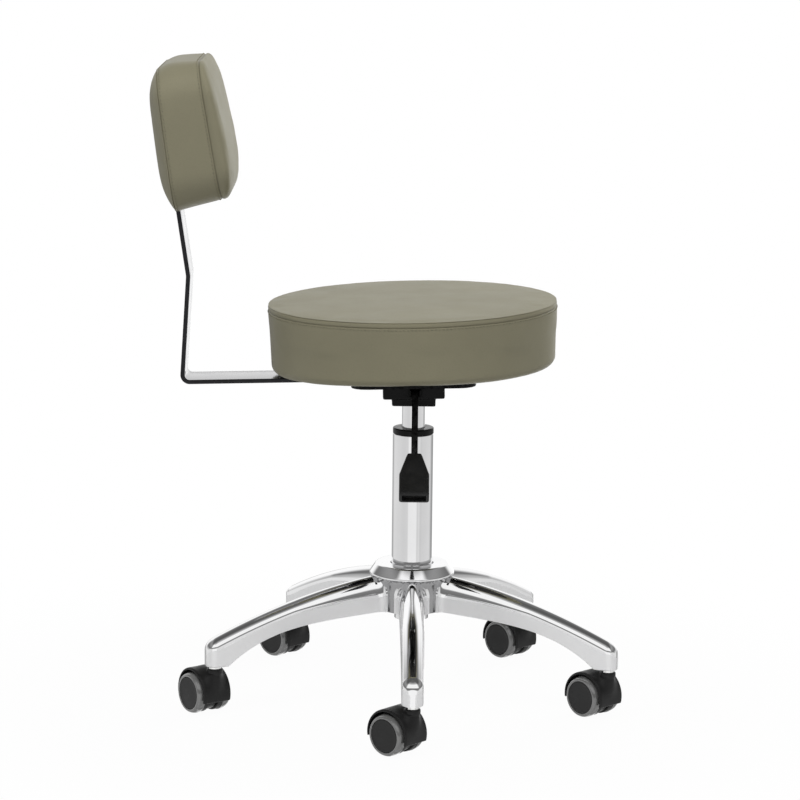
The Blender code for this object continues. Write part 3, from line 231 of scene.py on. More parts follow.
def slab(name: str, outline: Profile, half: float, edge: float, steps: int = 3) -> bpy.types.Mesh:
    """Make a plate with rounded edges.

    Args:
        name: The mesh's name.
        outline: The plate's outline, counter-clockwise, in X and Z.
        half: Half its thickness along Y.
        edge: Radius of the rounding along both faces' edges.
        steps: Pieces in that rounding.

    Returns:
        A closed mesh.
    """
    points = np.array(outline)
    way = np.roll(points, -1, axis=0) - points
    way /= np.linalg.norm(way, axis=1)[:, None]
    outward = np.stack([way[:, 1], -way[:, 0]], axis=1)
    corner = outward + np.roll(outward, 1, axis=0)
    corner /= np.maximum(np.linalg.norm(corner, axis=1)[:, None], MITRE_FLOOR)
    rings = []
    for side in (-1.0, 1.0):
        turns = np.linspace(0.0, math.pi / 2, steps + 1)
        for a in turns if side < 0 else turns[::-1]:
            inset = edge * (1.0 - math.sin(a))
            y = side * (half - edge * (1.0 - math.cos(a)))
            flat = points - corner * inset
            rings.append(np.stack([flat[:, 0], np.full(len(flat), y), flat[:, 1]], axis=1))
    return shell(name, np.array(rings))


def placed(mesh: bpy.types.Mesh, *matrices: Matrix) -> bpy.types.Mesh:
    """Move a mesh.

    Args:
        mesh: The mesh, changed in place.
        matrices: The moves, of which the first is applied last.

    Returns:
        The same mesh.
    """
    for matrix in reversed(matrices):
        mesh.transform(matrix)
    return mesh


def joined(name: str, meshes: Sequence[bpy.types.Mesh]) -> bpy.types.Mesh:
    """Put several closed bodies into one mesh.

    Args:
        name: The new mesh's name.
        meshes: The bodies, which are used up.

    Returns:
        The new mesh.
    """
    bm = bmesh.new()
    for mesh in meshes:
        bm.from_mesh(mesh)
        bpy.data.meshes.remove(mesh)
    whole = bpy.data.meshes.new(name)
    bm.to_mesh(whole)
    bm.free()
    return whole


def softened(mesh: bpy.types.Mesh, voxel: float, passes: int) -> bpy.types.Mesh:
    """Fuse overlapping bodies into one skin and round its corners.

    Args:
        mesh: The closed bodies, which are used up.
        voxel: Size of the new skin's cells.
        passes: Rounds of smoothing.

    Returns:
        The fused mesh, under the same name.
    """
    name = mesh.name
    body = bpy.data.objects.new(name, mesh)
    bpy.context.scene.collection.objects.link(body)
    fuse = body.modifiers.new("fuse", "REMESH")
    fuse.mode = "VOXEL"
    fuse.voxel_size = voxel
    body.modifiers.new("soften", "SMOOTH").iterations = passes
    graph = bpy.context.evaluated_depsgraph_get()
    fused = bpy.data.meshes.new_from_object(body.evaluated_get(graph))
    bpy.data.objects.remove(body)
    bpy.data.meshes.remove(mesh)
    fused.name = name
    return fused


def stitch_row(name: str, path: np.ndarray, outward: np.ndarray, pitch: float, size: float) -> bpy.types.Mesh:
    """Sew a closed path with short round stitches.

    Args:
        name: The mesh's name.
        path: Points of the closed path.
        outward: The cover's normal at each point.
        pitch: Distance from one stitch to the next.
        size: The thread's radius.

    Returns:
        A mesh with one small body for each stitch.
    """
    loop = np.vstack([path, path[:1]])
    lengths = np.linalg.norm(np.diff(loop, axis=0), axis=1)
    reach = np.concatenate([[0.0], np.cumsum(lengths)])
    normals = np.vstack([outward, outward[:1]])
    count = int(reach[-1] / pitch)
    shares, rise, girth = np.array(STITCH_SHAPE).T
    lift, girth = rise * size, girth * size
    turns = np.linspace(0.0, 2 * math.pi, THREAD_SIDES, endpoint=False)
    bodies = []
    for k in range(count):
        spots = (k + STITCH_START + STITCH_LENGTH * shares) * reach[-1] / count
        centre = np.stack([np.interp(spots, reach, loop[:, i]) for i in range(3)], axis=1)
        up = np.stack([np.interp(spots, reach, normals[:, i]) for i in range(3)], axis=1)
        up /= np.linalg.norm(up, axis=1)[:, None]
        along = centre[-1] - centre[0]
        across = np.cross(up, along / np.linalg.norm(along))
        ring = np.cos(turns)[None, :, None] * across[:, None, :]
        ring += np.sin(turns)[None, :, None] * up[:, None, :]
        middle = (centre + up * lift[:, None])[:, None, :]
        bodies.append(shell("stitch", middle + ring * girth[:, None, None]))
    return joined(name, bodies)


def point_tree(points: np.ndarray) -> KDTree:
    """Sort points for searches.

    Args:
        points: The points, which keep their numbers.

    Returns:
        The search tree.
    """
    tree = KDTree(len(points))
    for i, point in enumerate(points):
        tree.insert(point, i)
    tree.balance()
    return tree


def mesh_points(mesh: bpy.types.Mesh) -> np.ndarray:
    """Read a mesh's points.

    Args:
        mesh: The mesh.

    Returns:
        An array of points and coordinates.
    """
    flat = np.zeros(3 * len(mesh.vertices))
    mesh.vertices.foreach_get("co", flat)
    return flat.reshape(-1, 3)


# Node making


class NodeSheet:
    """Adds nodes to one node tree, from left to right, and joins them."""

    step: tuple[float, float] = (200.0, -60.0)
    rows: int = 4
    fractal: float = 0.55

    def __init__(self, tree: bpy.types.NodeTree) -> None:
        """Start on a tree, which is emptied.

        Args:
            tree: The node tree.
        """
        self.tree = tree
        self.column = 0
        tree.nodes.clear()

    def add(self, kind: str, inputs: dict | None = None, **settings: object) -> bpy.types.Node:
        """Add a node.

        Args:
            kind: The node's type.
            inputs: What its input sockets get, by name or number: a socket to join, or a value.
            settings: The node's own properties.

        Returns:
            The node.
        """
        node = self.tree.nodes.new(kind)
        node.location = (self.step[0] * self.column, self.step[1] * (self.column % self.rows))
        self.column += 1
        for name, value in settings.items():
            setattr(node, name, value)
        for name, source in (inputs or {}).items():
            if isinstance(source, bpy.types.NodeSocket):
                self.tree.links.new(source, node.inputs[name])
            else:
                node.inputs[name].default_value = source
        return node

    def math(
        self, operation: str, first: object, second: object = 0.0, clamp: bool = False
    ) -> bpy.types.NodeSocket:
        """Return the result of one sum on two sockets or numbers."""
        terms = {0: first, 1: second}
        return self.add("ShaderNodeMath", terms, operation=operation, use_clamp=clamp).outputs[0]

    def spread(
        self, value: object, low: float, high: float, to_low: object, to_high: object
    ) -> bpy.types.NodeSocket:
        """Return a value mapped from one range to another, clamped and eased."""
        ends = {"Value": value, "From Min": low, "From Max": high, "To Min": to_low, "To Max": to_high}
        return self.add("ShaderNodeMapRange", ends, interpolation_type="SMOOTHSTEP").outputs["Result"]

    def blend(self, factor: object, first: object, second: object, how: str = "MIX") -> bpy.types.NodeSocket:
        """Return the mix of two colours."""
        node = self.add("ShaderNodeMix", {0: factor, 6: first, 7: second}, data_type="RGBA", blend_type=how)
        return node.outputs[2]

    def place(self, size: object) -> bpy.types.NodeSocket:
        """Find the point on the piece.

        Args:
            size: The length it is measured in.

        Returns:
            The point, in lengths of that size.
        """
        point = self.add("ShaderNodeTexCoord").outputs["Object"]
        scale = self.math("DIVIDE", 1.0, size)
        return self.add("ShaderNodeVectorMath", {0: point, "Scale": scale}, operation="SCALE").outputs[0]

    def noise(self, size: object, detail: float = 3.0) -> bpy.types.NodeSocket:
        """Return soft noise whose patches have about the given size."""
        values = {"Vector": self.place(size), "Scale": 1.0, "Detail": detail, "Roughness": self.fractal}
        return self.add("ShaderNodeTexNoise", values).outputs[0]

    def bump(self, height: object, strength: float, distance: float) -> bpy.types.NodeSocket:
        """Return the surface's normal, bent by a height."""
        values = {"Height": height, "Strength": strength, "Distance": distance}
        return self.add("ShaderNodeBump", values).outputs["Normal"]

    def ramp(self, value: object, stops: Sequence[tuple[float, float]]) -> bpy.types.NodeSocket:
        """Make a grey that changes with a value.

        Args:
            value: What it follows.
            stops: Place and brightness of each stop.

        Returns:
            The grey.
        """
        node = self.add("ShaderNodeValToRGB", {"Fac": value})
        node.color_ramp.interpolation = "EASE"
        marks = node.color_ramp.elements
        while len(marks) < len(stops):
            marks.new(0.5)
        for mark, (spot, level) in zip(marks, stops):
            mark.position = spot
            mark.color = (level, level, level, 1.0)
        return node.outputs["Color"]


class Effect(Enum):
    """Node groups that several finishes share."""

    DRIFT = "colour_drift"
    GRAIN = "pebble_grain"
    # Edges coloured as partly wear and partly a painted highlight.
    RUB = "edge_rub"
    DUST = "settled_dust"
    HANDLED = "handled_gloss"


VALUE, TINT = "NodeSocketFloat", "NodeSocketColor"
EFFECT_SOCKETS = {
    Effect.DRIFT: ({"Colour": TINT, "Amount": VALUE, "Size": VALUE}, {"Colour": TINT}),
    Effect.GRAIN: ({"Size": VALUE}, {"Height": VALUE, "Crease": VALUE}),
    Effect.RUB: ({"Amount": VALUE, "Size": VALUE}, {"Edge": VALUE}),
    Effect.DUST: ({"Amount": VALUE, "Size": VALUE}, {"Dust": VALUE}),
    Effect.HANDLED: ({"Low": VALUE, "High": VALUE, "Size": VALUE}, {"Roughness": VALUE}),
}


class EffectShelf:
    """Builds each shared node group once and places it in materials."""

    wander_size: float = 2.5
    fine_size: float = 0.35
    pebble_edge: float = 0.32
    pebble_share: float = 0.75
    crease_edge: float = 0.14

    def __init__(self) -> None:
        """Start with no group built."""
        self.groups: dict[Effect, bpy.types.NodeTree] = {}
        self.makers: dict[Effect, Callable[[NodeSheet, Sockets], Sockets]] = {
            Effect.DRIFT: self.make_drift,
            Effect.GRAIN: self.make_grain,
            Effect.RUB: self.make_rub,
            Effect.DUST: self.make_dust,
            Effect.HANDLED: self.make_handled,
        }

    def put(self, sheet: NodeSheet, effect: Effect, values: dict) -> bpy.types.Node:
        """Place an effect in a material.

        Args:
            sheet: The material's node sheet.
            effect: Which effect.
            values: The group's inputs, as sockets or values.

        Returns:
            The group node.
        """
        if effect not in self.groups:
            self.groups[effect] = self.make_group(effect)
        return sheet.add("ShaderNodeGroup", values, node_tree=self.groups[effect])

    def drift(self, sheet: NodeSheet, colour: Colour, amount: float, size: float) -> bpy.types.NodeSocket:
        """Return a colour that drifts in patches of the given size."""
        values = {"Colour": (*colour, 1.0), "Amount": amount, "Size": size}
        return self.put(sheet, Effect.DRIFT, values).outputs["Colour"]

    def gloss(self, sheet: NodeSheet, ends: tuple[float, float], size: float) -> bpy.types.NodeSocket:
        """Return a roughness that varies between two ends in patches of the given size."""
        values = {"Low": ends[0], "High": ends[1], "Size": size}
        return self.put(sheet, Effect.HANDLED, values).outputs["Roughness"]

    def make_group(self, effect: Effect) -> bpy.types.NodeTree:
        """Build an effect's node group.

        Args:
            effect: Which effect.

        Returns:
            The group's tree.
        """
        tree = bpy.data.node_groups.new(effect.value, "ShaderNodeTree")
        for way, sockets in zip(("INPUT", "OUTPUT"), EFFECT_SOCKETS[effect]):
            for name, kind in sockets.items():
                tree.interface.new_socket(name, in_out=way, socket_type=kind)
        sheet = NodeSheet(tree)
        source = sheet.add("NodeGroupInput")
        sink = sheet.add("NodeGroupOutput")
        for name, result in self.makers[effect](sheet, source.outputs).items():
            tree.links.new(result, sink.inputs[name])
        return tree

    def make_drift(self, sheet: NodeSheet, takes: Sockets) -> Sockets:
        """Let a colour drift lighter and darker in soft patches.

        Args:
            sheet: The group's node sheet.
            takes: The group's inputs.

        Returns:
            The group's outputs.
        """
        patch = sheet.noise(takes["Size"], 4.0)
        swing = sheet.math("SUBTRACT", sheet.spread(patch, 0.30, 0.70, 0.0, 2.0), 1.0)
        value = sheet.math("ADD", sheet.math("MULTIPLY", swing, takes["Amount"]), 1.0)
        tinted = sheet.add("ShaderNodeHueSaturation", {"Value": value, "Color": takes["Colour"]})
        return {"Colour": tinted.outputs["Color"]}

    def make_grain(self, sheet: NodeSheet, takes: Sockets) -> Sockets:
        """Pebble a surface: its height, and a mask of the creases between pebbles.

        Args:
            sheet: The group's node sheet.
            takes: The group's inputs.

        Returns:
            The group's outputs.
        """
        place = sheet.place(takes["Size"])
        wander = sheet.noise(sheet.math("MULTIPLY", takes["Size"], self.wander_size), 2.0)
        bent = sheet.add("ShaderNodeVectorMath", {0: place, 1: wander}, operation="ADD").outputs[0]
        cells = sheet.add("ShaderNodeTexVoronoi", {"Vector": bent, "Scale": 1.0}, feature="DISTANCE_TO_EDGE")
        pebble = sheet.spread(cells.outputs["Distance"], 0.0, self.pebble_edge, 0.0, 1.0)
        fine = sheet.noise(sheet.math("MULTIPLY", takes["Size"], self.fine_size), 2.0)
        coarse = sheet.math("MULTIPLY", pebble, self.pebble_share)
        height = sheet.math("ADD", coarse, sheet.math("MULTIPLY", fine, 1.0 - self.pebble_share))
        inside = sheet.spread(cells.outputs["Distance"], 0.0, self.crease_edge, 0.0, 1.0)
        return {"Height": height, "Crease": sheet.math("SUBTRACT", 1.0, inside)}

    def make_rub(self, sheet: NodeSheet, takes: Sockets) -> Sockets:
        """Find outer edges, broken up in patches: the mask for an edge colour that is partly wear and partly
        a painted highlight.

        Args:
            sheet: The group's node sheet.
            takes: The group's inputs.

        Returns:
            The group's outputs.
        """
        point = sheet.add("ShaderNodeNewGeometry").outputs["Pointiness"]
        edge = sheet.spread(point, 0.52, 0.62, 0.0, 1.0)
        broken = sheet.spread(sheet.noise(takes["Size"], 5.0), 0.38, 0.62, 0.15, 1.0)
        wear_and_highlight = sheet.math("MULTIPLY", sheet.math("MULTIPLY", edge, broken), takes["Amount"], clamp=True)
        return {"Edge": wear_and_highlight}

    def make_dust(self, sheet: NodeSheet, takes: Sockets) -> Sockets:
        """Let dust settle in patches on faces that look up.

        Args:
            sheet: The group's node sheet.
            takes: The group's inputs.

        Returns:
            The group's outputs.
        """
        normal = sheet.add("ShaderNodeNewGeometry").outputs["Normal"]
        upward = sheet.add("ShaderNodeSeparateXYZ", {"Vector": normal}).outputs["Z"]
        flat = sheet.spread(upward, 0.45, 1.0, 0.0, 1.0)
        patch = sheet.spread(sheet.noise(takes["Size"], 6.0), 0.35, 0.75, 0.2, 1.0)
        dust = sheet.math("MULTIPLY", sheet.math("MULTIPLY", flat, patch), takes["Amount"], clamp=True)
        return {"Dust": dust}

    def make_handled(self, sheet: NodeSheet, takes: Sockets) -> Sockets:
        """Vary the gloss between wiped and handled patches."""
        patch = sheet.noise(takes["Size"], 5.0)
        return {"Roughness": sheet.spread(patch, 0.30, 0.72, takes["Low"], takes["High"])}


EFFECTS = EffectShelf()


def surface(name: str) -> tuple[bpy.types.Material, NodeSheet]:
    """Start a material with an empty node tree.

    Args:
        name: The material's name.

    Returns:
        The material and its node sheet.
    """
    material = bpy.data.materials.new(name)
    material.use_nodes = True
    return material, NodeSheet(material.node_tree)


def close_surface(sheet: NodeSheet, inputs: dict) -> None:
    """End a material in a Principled shader that gets the given inputs."""
    shader = sheet.add("ShaderNodeBsdfPrincipled", inputs)
    sheet.add("ShaderNodeOutputMaterial", {"Surface": shader.outputs[0]})


@dataclass(frozen=True)
class VinylFinish:
    """Grained upholstery vinyl with darker creases, and sewn seams painted darker: partly dirt, partly
    painted shade in the seam grooves and the seat's edge crease.
    """

    name: str = "sage_vinyl"
    colour: Colour = (0.262, 0.245, 0.166)
    drift: float = 0.025
    drift_size: float = 0.07
    grain: float = 0.0013
    relief: float = 0.00010
    relief_strength: float = 0.6
    crease_share: float = 0.16
    crease_tone: float = 0.45
    # Colour factor along seams and the edge crease: partly dirt, partly painted shade in the grooves.
    seam_dirt_and_shade_tone: float = 0.55
    gloss: tuple[float, float] = (0.41, 0.46)
    gloss_size: float = 0.05
    specular: float = 0.20

    def darkened(self, tone: float) -> tuple[float, ...]:
        """Return the vinyl's colour times a tone."""
        return (*[c * tone for c in self.colour], 1.0)

    def material(self) -> bpy.types.Material:
        """Make the finish.

        Returns:
            The vinyl as a material.
        """
        material, sheet = surface(self.name)
        drift = EFFECTS.drift(sheet, self.colour, self.drift, self.drift_size)
        grain = EFFECTS.put(sheet, Effect.GRAIN, {"Size": self.grain}).outputs
        crease = sheet.math("MULTIPLY", grain["Crease"], self.crease_share)
        creased = sheet.blend(crease, drift, self.darkened(self.crease_tone))
        # The seam mask darkens the colour along seams, partly as dirt and partly as painted shade in their
        # grooves, and along the seat's edge crease as painted shade.
        seam = sheet.add("ShaderNodeAttribute", attribute_name="seam").outputs["Fac"]
        inputs = {
            "Base Color": sheet.blend(seam, creased, self.darkened(self.seam_dirt_and_shade_tone)),
            "Roughness": EFFECTS.gloss(sheet, self.gloss, self.gloss_size),
            "Normal": sheet.bump(grain["Height"], self.relief_strength, self.relief),
            "Specular IOR Level": self.specular,
        }
        close_surface(sheet, inputs)
        return material


@dataclass(frozen=True)
class ThreadFinish:
    """Sewing thread: twisted, and a little darker than the cover."""

    name: str = "sage_thread"
    colour: Colour = (0.200, 0.187, 0.127)
    drift: float = 0.12
    drift_size: float = 0.004
    twist: float = 0.0006
    relief: float = 0.0001
    relief_strength: float = 0.5
    roughness: float = 0.6

    def material(self) -> bpy.types.Material:
        """Make the finish.

        Returns:
            The thread as a material.
        """
        material, sheet = surface(self.name)
        inputs = {
            "Base Color": EFFECTS.drift(sheet, self.colour, self.drift, self.drift_size),
            "Roughness": self.roughness,
            "Normal": sheet.bump(sheet.noise(self.twist, 1.0), self.relief_strength, self.relief),
        }
        close_surface(sheet, inputs)
        return material


@dataclass(frozen=True)
class BrightMetal:
    """Plated, polished or zinc metal with handled patches and a faint brushed relief."""

    name: str
    colour: Colour
    gloss: tuple[float, float]
    drift: float = 0.02
    relief: float = 0.0
    relief_strength: float = 0.25
    patch: float = 0.03
    metallic: float = 1.0

    def material(self) -> bpy.types.Material:
        """Make the finish.

        Returns:
            The metal as a material.
        """
        material, sheet = surface(self.name)
        inputs = {
            "Base Color": EFFECTS.drift(sheet, self.colour, self.drift, self.patch),
            "Roughness": EFFECTS.gloss(sheet, self.gloss, self.patch),
            "Metallic": self.metallic,
        }
        if self.relief:
            inputs["Normal"] = sheet.bump(sheet.noise(self.patch / 3), self.relief_strength, self.relief)
        close_surface(sheet, inputs)
        return material


@dataclass(frozen=True)
class DarkFinish:
    """Moulded or coated dark surface with a fine texture, an edge colour that is partly wear and partly a
    painted highlight, and a little dust.
    """

    name: str
    colour: Colour
    gloss: tuple[float, float]
    grain: float
    relief: float
    # Edge colour and its amount: partly wear, partly a painted highlight along convex edges.
    rub: float = 0.3
    dust: float = 0.05
    drift: float = 0.12
    wear_and_highlight: Colour = (0.09, 0.09, 0.09)
    settled: Colour = (0.16, 0.155, 0.145)
    specular: float = 0.5
    coat: float = 0.0
    coat_roughness: float = 0.10
    coat_ior: float = 1.9
    relief_strength: float = 0.5
    patch: float = 0.02
    wear_and_highlight_size: float = 0.006
    dust_size: float = 0.012

    def material(self) -> bpy.types.Material:
        """Make the finish.

        Returns:
            The dark surface as a material.
        """
        material, sheet = surface(self.name)
        drift = EFFECTS.drift(sheet, self.colour, self.drift, self.patch)
        # Convex edges take the edge colour: partly wear, partly a painted highlight.
        edge = EFFECTS.put(sheet, Effect.RUB, {"Amount": self.rub, "Size": self.wear_and_highlight_size})
        with_wear_and_highlight = sheet.blend(edge.outputs["Edge"], drift, (*self.wear_and_highlight, 1.0))
        dust = EFFECTS.put(sheet, Effect.DUST, {"Amount": self.dust, "Size": self.dust_size})
        grain = EFFECTS.put(sheet, Effect.GRAIN, {"Size": self.grain})
        inputs = {
            "Base Color": sheet.blend(dust.outputs["Dust"], with_wear_and_highlight, (*self.settled, 1.0)),
            "Roughness": EFFECTS.gloss(sheet, self.gloss, self.patch),
            "Normal": sheet.bump(grain.outputs["Height"], self.relief_strength, self.relief),
            "Specular IOR Level": self.specular,
            "Coat Weight": self.coat,
            "Coat Roughness": self.coat_roughness,
            "Coat IOR": self.coat_ior,
        }
        close_surface(sheet, inputs)
        return material


class Wardrobe:
    """Makes each finish's material once."""

    def __init__(self) -> None:
        """Set out the finishes by the record's slots."""
        self.finishes = {
            Slot.VINYL: VinylFinish(),
            Slot.CHROME: BrightMetal("bright_chrome", (0.85, 0.85, 0.855), (0.035, 0.075)),
            Slot.ALUMINIUM: BrightMetal(
                "polished_casting", (0.95, 0.95, 0.955), (0.05, 0.10), relief=0.00002
            ),
            Slot.STEEL: BrightMetal("zinc_steel", (0.93, 0.93, 0.92), (0.10, 0.20), drift=0.05, patch=0.006),
            Slot.BLACK_STEEL: DarkFinish(
                "black_coated_steel", (0.0025, 0.0025, 0.0026), (0.34, 0.46), 0.0007, 0.00004, specular=0.05
            ),
            Slot.NYLON: DarkFinish(
                "black_moulded_nylon", (0.010, 0.010, 0.010), (0.34, 0.46), 0.0005, 0.00003, specular=0.30
            ),
            Slot.RUBBER: DarkFinish(
                "grey_tyre_rubber",
                (0.165, 0.165, 0.163),
                (0.11, 0.20),
                grain=0.0012,
                relief=0.00003,
                rub=0.35,
                dust=0.0,
                drift=0.10,
                wear_and_highlight=(0.12, 0.118, 0.112),
                coat=0.8,
            ),
            Slot.BOARD: DarkFinish(
                "painted_plywood", (0.020, 0.019, 0.018), (0.55, 0.72), 0.0022, 0.00008, dust=0.0
            ),
        }
        self.made: dict[str, bpy.types.Material] = {}

    def of(self, slot: Slot) -> bpy.types.Material:
        """Return the material of a slot."""
        return self.own(self.finishes[slot])

    def own(self, finish: VinylFinish | ThreadFinish | BrightMetal | DarkFinish) -> bpy.types.Material:
        """Give a finish's material, made at its first use.

        Args:
            finish: The finish.

        Returns:
            Its material.
        """
        if finish.name not in self.made:
            self.made[finish.name] = finish.material()
        return self.made[finish.name]


@dataclass
class Dresser:
    """Puts finished meshes into the scene, on the body and in place of the nodes they stand for."""

    frame: dict
    wardrobe: Wardrobe = field(default_factory=Wardrobe)
    smooth_angle: float = math.radians(38.0)

    def dress(
        self,
        mesh: bpy.types.Mesh,
        body: str,
        slot: Slot,
        nodes: Sequence[str] = (),
        extra: Sequence[bpy.types.Material] = (),
        own: bpy.types.Material | None = None,
        crisp: float | None = None,
    ) -> bpy.types.Object:
        """Make a piece of the object.

        Args:
            mesh: The piece's mesh in the row frame; it gives the piece its name.
            body: The CAD body that it rides on.
            slot: The record's material slot it takes its finish from.
            nodes: The CAD nodes that it stands for.
            extra: Further materials, for faces with a material number above 0.
            own: A material of its own in place of the slot's.
            crisp: The angle from which its edges are sharp, if not the usual one.

        Returns:
            The piece.
        """
        mesh.shade_smooth()
        mesh.set_sharp_from_angle(angle=crisp or self.smooth_angle)
        mesh.materials.append(own or self.wardrobe.of(slot))
        for material in extra:
            mesh.materials.append(material)
        piece = bpy.data.objects.new(mesh.name, mesh)
        bpy.context.scene.collection.objects.link(piece)
        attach(piece, body)
        if nodes:
            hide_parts(*nodes)
        LOG.info("%s rides on %s, %d faces", piece.name, body, len(mesh.polygons))
        return piece

    def repaint(self, node: str, slot: Slot) -> None:
        """Give a CAD node that keeps its shape its finish.

        Args:
            node: The node's name.
            slot: The record's material slot.
        """
        obj = self.frame["nodes"][node]
        if not obj.material_slots:
            obj.data.materials.append(None)
        for holder in obj.material_slots:
            holder.material = self.wardrobe.of(slot)
        LOG.info("%s keeps its shape, in %s", node, slot.value)


@dataclass
class Bearings:
    """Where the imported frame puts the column, the tilted seat and the casters."""

    frame: dict
    lever_over_box: float = 0.0040

    def __post_init__(self) -> None:
        """Read the joints and the seat's mount."""
        self.joints = {joint["name"]: joint for joint in self.frame["joints"]}
        mounts = {mount["name"]: mount for mount in self.frame["record"]["mounts"]}
        self.column = Vector(self.joints["seat_swivel"]["pos_m"])
        self.column.z = 0.0
        lean = mounts["seat_top"]["axis"]
        self.tilt = math.atan2(-lean[0], lean[2])
        self.lever_pivot = Vector(self.joints["lever_tip"]["pos_m"])
        lift = Vector((0.0, 0.0, self.lever_pivot.z - self.lever_over_box))
        self.upright = Matrix.Translation(self.column)
        self.seat = Matrix.Translation(self.column + lift) @ Matrix.Rotation(-self.tilt, 4, "Y")

    def caster(self, number: int) -> tuple[Matrix, float, float]:
        """Find a caster.

        Args:
            number: The caster's number.

        Returns:
            Its frame, with X along its trail, and its trail and axle height.
        """
        swivel = Vector(self.joints[f"caster_{number}_swivel"]["pos_m"])
        axle = Vector(self.joints[f"caster_{number}_near_spin"]["pos_m"])
        trail = Vector((axle.x - swivel.x, axle.y - swivel.y))
        heading = math.atan2(trail.y, trail.x)
        place = Matrix.Translation((swivel.x, swivel.y, 0.0)) @ Matrix.Rotation(heading, 4, "Z")
        return place, trail.length, axle.z

    def arm_heading(self, number: int) -> float:
        """Return the direction of the arm that carries a caster."""
        swivel = Vector(self.joints[f"caster_{number}_swivel"]["pos_m"]) - self.column
        return math.atan2(swivel.y, swivel.x)


# Upholstery


@dataclass
class ClothSwell:
    """Blows a cover up as cloth held at its seams, and says how far each point moved."""

    voxel: float = 0.005
    pressure: float = 4.0
    frames: int = 20
    cap: float = 0.003
    held_within: float = 0.004

    def run(self, mesh: bpy.types.Mesh, held: np.ndarray) -> tuple[KDTree, np.ndarray]:
        """Simulate a copy of a closed mesh.

        Args:
            mesh: The cover before it swells.
            held: Points that the cover is sewn or fixed at.

        Returns:
            A tree of the points before the simulation, and each point's movement.
        """
        scene = bpy.context.scene
        body = bpy.data.objects.new("cover_trial", mesh.copy())
        scene.collection.objects.link(body)
        remesh = body.modifiers.new("even", "REMESH")
        remesh.mode = "VOXEL"
        remesh.voxel_size = self.voxel
        graph = bpy.context.evaluated_depsgraph_get()
        body.data = bpy.data.meshes.new_from_object(body.evaluated_get(graph))
        body.modifiers.clear()
        before = mesh_points(body.data)
        fixed = point_tree(held)
        group = body.vertex_groups.new(name="held")
        near = [i for i, point in enumerate(before) if fixed.find(point)[2] < self.held_within]
        group.add(near, 1.0, "REPLACE")
        cloth = body.modifiers.new("swell", "CLOTH")
        cloth.settings.vertex_group_mass = "held"
        cloth.settings.use_pressure = True
        cloth.settings.uniform_pressure_force = self.pressure
        cloth.settings.effector_weights.gravity = 0.0
        cloth.point_cache.frame_start = 1
        cloth.point_cache.frame_end = self.frames
        for number in range(1, self.frames + 1):
            scene.frame_set(number)
        graph = bpy.context.evaluated_depsgraph_get()
        after = mesh_points(body.evaluated_get(graph).data)
        move = after - before
        length = np.maximum(np.linalg.norm(move, axis=1), TINY)
        move *= np.minimum(1.0, self.cap / length)[:, None]
        scene.frame_set(1)
        bpy.data.objects.remove(body)
        LOG.info("cover swelled by up to %.1f mm", 1000 * min(self.cap, length.max()))
        return point_tree(before), move


@dataclass
class CoverRows:
    """The rows of a sewn cover: rings of points, and which rows are seams."""

    rings: np.ndarray
    seam: np.ndarray
    wrinkle: float = 0.0004
    wrinkle_size: float = 0.06
    gather: float = 0.00022
    gather_pitch: float = 0.012
    gather_reach: float = 0.012
    gather_start: float = 0.002
    neighbours: int = 6
    nearness: float = 0.0008

    def swell(self, swell: ClothSwell) -> None:
        """Move the rows by a cloth simulation of the cover, held at its seams.

        Args:
            swell: How the cover is blown up.
        """
        held = self.rings[self.seam > SEWN].reshape(-1, 3)
        trial = shell("cover", self.rings)
        tree, move = swell.run(trial, held)
        bpy.data.meshes.remove(trial)
        flat = self.rings.reshape(-1, 3)
        shift = np.zeros_like(flat)
        for i, point in enumerate(flat):
            found = tree.find_n(point, self.neighbours)
            weights = np.array([1.0 / (distance + self.nearness) for _, _, distance in found])
            shift[i] = weights @ move[[index for _, index, _ in found]] / weights.sum()
        self.rings = (flat + shift).reshape(self.rings.shape)

    def normals(self) -> np.ndarray:
        """Find the rows' outward normals, from their neighbours.

        Returns:
            A normal for each point.
        """
        around = np.roll(self.rings, -1, axis=1) - np.roll(self.rings, 1, axis=1)
        along = np.gradient(self.rings, axis=0)
        normal = np.cross(along, around)
        normal /= np.maximum(np.linalg.norm(normal, axis=2), TINY)[..., None]
        middle = self.rings.reshape(-1, 3).mean(axis=0)
        facing = np.sum(normal * (self.rings - middle), axis=2)
        return normal * np.where(np.sum(facing) < 0, -1.0, 1.0)

    def settle(self) -> None:
        """Add soft hollows all over, and small gathers beside the seams."""
        normal = self.normals()
        lengths = np.linalg.norm(np.diff(self.rings, axis=0), axis=2).mean(axis=1)
        reach = np.concatenate([[0.0], np.cumsum(lengths)])
        sewn = reach[self.seam > SEWN]
        near = np.min(np.abs(reach[:, None] - sewn[None, :]), axis=1)
        turn = np.linalg.norm(np.roll(self.rings, -1, axis=1) - self.rings, axis=2)
        girth = np.cumsum(turn, axis=1)
        lift = np.zeros(self.rings.shape[:2])
        for i in range(lift.shape[0]):
            fade = math.exp(-((near[i] / self.gather_reach) ** 2)) * min(1.0, near[i] / self.gather_start)
            for j in range(lift.shape[1]):
                spot = Vector(self.rings[i, j])
                lift[i, j] = self.wrinkle * noise.noise(spot / self.wrinkle_size)
                pull = noise.noise(Vector((girth[i, j] / self.gather_pitch, 7.0 * reach[i], 3.0)))
                lift[i, j] += self.gather * fade * pull
        self.rings = self.rings + normal * lift[..., None]

    def row_path(self, row: int) -> tuple[np.ndarray, np.ndarray]:
        """Return a row's points and normals."""
        return self.rings[row], self.normals()[row]


